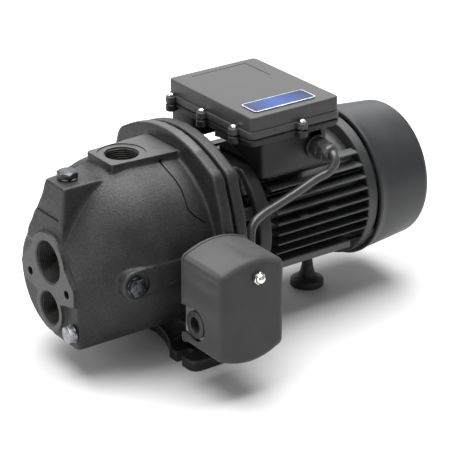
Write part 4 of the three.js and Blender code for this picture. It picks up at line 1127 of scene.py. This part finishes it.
# -------------------------------------------------------------------- the rear foot
# A rubber foot holds up the back of the motor: a broad disc on a tapered stem, moulded
# round a steel stud that screws up into the frame.
foot_rubber = moulded_plastic("moulded_black_rubber", "#171717", "#222222", 0.62, 1.6, 0.12, "#4a4a4a")
rear_foot = turned("rubber_foot", "z", REAR_FOOT_X, 0, [
    (GROUND, 0), (GROUND, 16.2), (GROUND + 0.6, 17.1), (GROUND + 1.5, 17.5), (GROUND + 6, 17.5),
    (GROUND + 7, 17.2),
    (GROUND + 7.8, 16.4), (GROUND + 9.6, 13), (GROUND + 11, 10.6), (GROUND + 13, 8.7), (GROUND + 17, 7.2),
    (GROUND + 22, 6.1), (GROUND + 27, 5.5), (-72.6, 5.5), (-72.6, 3.9), (-58, 3.9), (-58, 0)], 72)
smooth_shade(rear_foot, 40)
fit(rear_foot, ["rear_foot"], "pump", "rubber", foot_rubber)


# --------------------------------------------------------- the pressure switch's base
# The switch stands on a short zinc-plated nipple screwed into the barrel. Its base is
# pressed from zinc-plated steel, with an ear on each side that holds a cable bushing.
SWITCH = {"x": SWITCH_X, "half": 36.5, "y0": -104.5, "y1": -167, "low": -63, "high": 25, "sag": 10}
STUD = {"x": 122, "z": 16}
BUSHING = {"y": -124, "z": -39, "r": 13.5}
pressed_zinc = plated_steel("zinc_plate_on_pressed_steel", "#85878a", "#a9abae", 0.36, 2.4)


def pressed_base():
    x, half, y0 = SWITCH["x"], SWITCH["half"], SWITCH["y0"]
    base = soft_slab("base_pressing", "y", y0 - 0.5, y0 - 2.5,
                     (x - half + 3.4, x + half - 3.4, SWITCH["low"] + 5, SWITCH["high"] - 5), 4, 0.4)
    parts = []
    for side in (-1, 1):
        face = x + side * (half - 4.4)
        parts.append(soft_slab("ear", "x", face - 1, face + 1, (
            BUSHING["y"] - 15, y0 - 0.5, BUSHING["z"] - 16, BUSHING["z"] + 17), 5, 0.3))
    parts.append(soft_slab("tower", "z", -4, 0, (x - 18, x + 18, -130, y0 - 1), 2, 0.4))
    combine(base, "UNION", *parts)
    edges = (x - half, x + half)
    holes = [bar("bushing_hole", "x", e - 8, e + 8, 9.6, BUSHING["y"], BUSHING["z"], 48) for e in edges]
    combine(base, "DIFFERENCE", *holes)
    return smooth_shade(base, 30)


fit(pressed_base(), ["switch_base"], "pump", "zinc", pressed_zinc)

nipple = hexagon_head("nipple_turned", "y", SWITCH["x"], -20, -90, SWITCH["y0"] - 0.15, 20.8, 0)
pipe = turned("pipe", "y", SWITCH["x"], -20, lambda angle: [(-90.6, 0)] + [
    (-90.5 + 14.5 * k / 60, 6.6 - 0.45 * abs(2 * ((14.5 * k / 60 / 1.4 + angle / (2 * math.pi)) % 1.0) - 1))
    for k in range(61)] + [(-75.9, 0)], 48)
combine(nipple, "UNION", pipe)
smooth_shade(nipple, 30)
fit(nipple, ["switch_nipple"], "pump", "zinc", pressed_zinc)

bushing_rubber = moulded_plastic("semi_hard_black_bushing", "#141415", "#1f1f20", 0.5, 1.2, 0.06, "#5a5a5a")
for side, node, hole in ((-1, "bushing_front", 7.5), (1, "bushing_rear", 4.8)):
    ear = SWITCH["x"] + side * (SWITCH["half"] - 4.4)
    bush = turned(f"{node}_moulding", "x", BUSHING["y"], BUSHING["z"], [
        (ear - side * 4, hole), (ear - side * 4, 9), (ear + side * 1.4, 9.2), (ear + side * 1.4, 13),
        (ear + side * 1.9, 13.5), (ear + side * 3.4, 13.5), (ear + side * 4.1, 13), (ear + side * 4.4, 12.2),
        (ear + side * 4.4, hole + 0.8), (ear + side * 3.7, hole)], 72)
    smooth_shade(bush, 35)
    fit(bush, [node], "pump", "black_plastic", bushing_rubber)


# ------------------------------------------------------- inside the pressure switch
# A coil spring sets the pressure, and a black phenolic block carries the contacts with
# four brass terminal screws. A threaded stud reaches out to hold the cover.
spring_steel = plated_steel("blued_spring_steel", "#5c5d60", "#85878b", 0.3)
SPRING_COILS, STEPS_A_COIL = 7, 24
coil = []
for k in range(STEPS_A_COIL * SPRING_COILS + 1):
    t = 2 * math.pi * k / STEPS_A_COIL
    along_spring = -151 + 19.8 * k / (STEPS_A_COIL * SPRING_COILS)
    coil.append(Vector((SWITCH["x"] - 10 + 6.4 * math.cos(t), along_spring, -2 + 6.4 * math.sin(t))))
range_spring = smooth_shade(drawn_round("coil_spring", coil, 1.0, 10), 60)
fit(range_spring, ["range_spring"], "pump", "steel", spring_steel)

black_phenolic = moulded_plastic("black_phenolic_moulding", "#1a1817", "#272423", 0.4, 1.4, 0.05)


def contact_carrier():
    x = SWITCH["x"]
    block = soft_slab("contact_carrier", "y", -107, -130, (x - 20, x + 20, -44, -12), 1.8, 0.8)
    places = [x + step for step in (-15, -5, 5, 15)]
    cuts = [prism("bay", "x", a - 4, a + 4, box_outline(-131, -125, -45, -30)) for a in places]
    combine(block, "DIFFERENCE", *cuts)
    bridge = soft_slab("bridge", "y", -129, -134, (x - 17, x + 17, -26, -15), 1.5, 0.6)
    screws = [post("terminal_screw", "y", -124, -128.5, 3, a, -37, 0.4, 24) for a in places]
    combine(block, "UNION", bridge, *screws)
    slots = [prism("screw_slot", "y", -127.8, -129, box_outline(a - 4, a + 4, -37.4, -36.6)) for a in places]
    combine(block, "DIFFERENCE", *slots)
    return smooth_shade(block, 30)


contacts = contact_carrier()
two_finishes(
    contacts, black_phenolic, brass_clamp,
    lambda p, n: p.y < -125.2 and p.z < -33.8
    and min(math.hypot(p.x - SWITCH["x"] - a, p.z + 37) for a in (-15, -5, 5, 15)) < 3.1)
fit(contacts, ["contact_block"], "pump", "black_plastic")


def threaded(start, end, radius, pitch):
    """A rolled thread along y, as (distance, radius) points for each angle."""
    count = int((end - start) / pitch * 4)

    def section(angle):
        points = [(start, 0)]
        for k in range(count + 1):
            turn_part = (k / 4 + angle / (2 * math.pi)) % 1.0
            points.append((start + (end - start) * k / count, radius - 0.45 * pitch * abs(2 * turn_part - 1)))
        return points + [(end, 0)]

    return section


stud = turned("cover_stud", "y", STUD["x"], STUD["z"], threaded(-172, SWITCH["y0"] - 2.85, 3.2, 1.0), 24)
smooth_shade(stud, 50)
fit(stud, ["switch_stud"], "pump", "steel", zinc_plate)


# -------------------------------------------------------------------- the switch cover
# The cover is deep-drawn steel under smooth charcoal paint: bowed top and bottom, broad
# soft edges round its front, and a lip rolled out along its open back. A round notch on
# each side clears the bushings.
charcoal_enamel = moulded_plastic(
    "charcoal_enamel_on_drawn_steel", "#323233", "#39393a", 0.46, 2.6, 0.05, "#636364", 0.18)


def switch_outline(inset, corner=6.0):
    x, w, sag = SWITCH["x"], SWITCH["half"] - inset, SWITCH["sag"]
    low, high = SWITCH["low"] + inset, SWITCH["high"] - inset
    return bowed_path(
        (x - w, low + corner),
        ((x - w, low), (x - w + corner, low - 1.5)),
        ((x, low - 2 * sag + 4), (x + w - corner, low - 1.5)),
        ((x + w, low), (x + w, low + corner)),
        ((x + w, 0), (x + w, high - corner)),
        ((x + w, high), (x + w - corner, high + 1.5)),
        ((x, high + 2 * sag - 4), (x - w + corner, high + 1.5)),
        ((x - w, high), (x - w, high - corner)),
        ((x - w, 0), (x - w, low + corner)), steps=8)


def drawn_shell(name, grow, front, back, edge):
    turns = [math.radians(90 * k / 9) for k in range(10)]
    stations = [(front + edge * (1 - math.cos(t)), grow + edge * (1 - math.sin(t))) for t in turns]
    stations.append((back, grow))
    return loft(name, [[(x, y, z) for x, z in switch_outline(inset)] for y, inset in stations])


def drawn_switch_cover():
    x, half, y0, y1 = (SWITCH[k] for k in ("x", "half", "y0", "y1"))
    cover = drawn_shell("switch_cover_drawn", 0, y1, y0, 7.5)
    roll = ((y0 - 3, 0.3), (y0 - 2.4, -0.8), (y0 - 1.6, -1.2), (y0 - 0.6, -1.2), (y0, -0.7))
    lip = loft("lip", [[(a, y, b) for a, b in switch_outline(inset)] for y, inset in roll])
    combine(cover, "UNION", lip)
    cuts = [drawn_shell("hollow", 2.2, y1 + 2.2, y0 + 2, 6)]
    for side in (-1, 1):
        start = x + side * (half + 3)
        end = x + side * (half - 5)
        cuts.append(bar("notch", "x", start, end, 16.5, BUSHING["y"], BUSHING["z"], 64))
        cuts.append(prism("notch_mouth", "x", start, end, box_outline(
            BUSHING["y"], y0 + 5, BUSHING["z"] - 15, BUSHING["z"] + 15)))
    cuts.append(bar("stud_hole", "y", y1 - 1, y1 + 4, 3.7, STUD["x"], STUD["z"], 32))
    combine(cover, "DIFFERENCE", *cuts)
    return smooth_shade(cover, 30)


fit(drawn_switch_cover(), ["switch_cover"], "switch_cover_body", "switch_shell", charcoal_enamel)

acorn = hexagon_head("acorn_nut_turned", "y", STUD["x"], STUD["z"], SWITCH["y1"] - 0.35, -171.9, 11, 15)
crown = turned("crown", "y", STUD["x"], STUD["z"], [(-171, 0), (-171, 4.9), (-172, 4.9)] + [
    (-172 - 4.4 * math.sin(t), 4.9 * math.cos(t)) for t in (math.radians(15 * k) for k in range(1, 6))] + [
    (-176.4, 0)], 48)
combine(acorn, "UNION", crown)
combine(acorn, "DIFFERENCE", bar("nut_bore", "y", -173, -160, 3.6, STUD["x"], STUD["z"], 32))
smooth_shade(acorn, 35)
fit(acorn, ["acorn_nut"], "acorn_nut_body", "nickel", bright_nickel)


# ---------------------------------------------------------------- the hidden pieces
# These are deep inside and keep their plain shapes: the diffuser and impeller are
# moulded plastic, the seal is rubber on pressed fibre, and the motor has stacked steel
# sheets, enamelled copper and ground steel.
def dress(node, finish):
    """Gives a carried-over solid its own finish."""
    solid = frame["nodes"][node]
    solid.data.materials.clear()
    solid.data.materials.append(finish)


wet_end_plastic = moulded_plastic("black_moulded_polyphenylene", "#1c1c1d", "#29292a", 0.42, 1.2, 0.05)
seal_rubber = moulded_plastic("nitrile_seal_rubber", "#181818", "#232323", 0.6, 1.0, 0.05)
turned_brass = plated_steel("turned_impeller_brass", "#9c7d40", "#c4a25a", 0.3)
ground_steel = plated_steel("ground_bearing_steel", "#a9aaab", "#d2d3d4", 0.2)

# The laminations are half a millimetre thick; they are drawn 2 mm apart here so that
# the stack still reads as sheets.
stacked_sheet, tree, surface, place = new_finish("stacked_silicon_steel_sheet", 0.45, 0.9)
bands = {"bands_direction": "X", "Scale": 160.0, "Distortion": 0.3}
sheets = add_node(tree, "ShaderNodeTexWave", bands, {"Vector": place})
tone = colour_steps(tree, sheets.outputs["Fac"], (0.2, "#4a4b4d"), (0.8, "#8b8c8e"))
tree.links.new(tone, surface.inputs["Base Color"])
raise_surface(tree, surface, sheets.outputs["Fac"], 0.1, 0.5)

# Enamelled winding wire, wound round the stator ends and tied down.
wound_copper, tree, surface, place = new_finish("enamelled_copper_winding", 0.34, 0.9)
rings = {"wave_type": "RINGS", "rings_direction": "X", "Scale": 120.0, "Distortion": 1.2, "Detail": 1.0}
turns = add_node(tree, "ShaderNodeTexWave", rings, {"Vector": place})
tone = colour_steps(tree, turns.outputs["Fac"], (0.2, "#5c2c17"), (0.8, "#b0613a"))
tree.links.new(tone, surface.inputs["Base Color"])
raise_surface(tree, surface, turns.outputs["Fac"], 0.3, 0.8)

HIDDEN = {
    wet_end_plastic: ["diffuser", "impeller", "cooling_fan"],
    turned_brass: ["impeller_nut"],
    seal_rubber: ["seal_head"],
    pressed_fibre: ["seal_seat"],
    stacked_sheet: ["stator_core", "rotor_core"],
    wound_copper: ["stator_winding_front", "stator_winding_rear"],
    ground_steel: [
        "shaft", "front_bearing_inner", "front_bearing_outer", "rear_bearing_inner", "rear_bearing_outer"],
}
for finish, nodes in HIDDEN.items():
    for node in nodes:
        dress(node, finish)
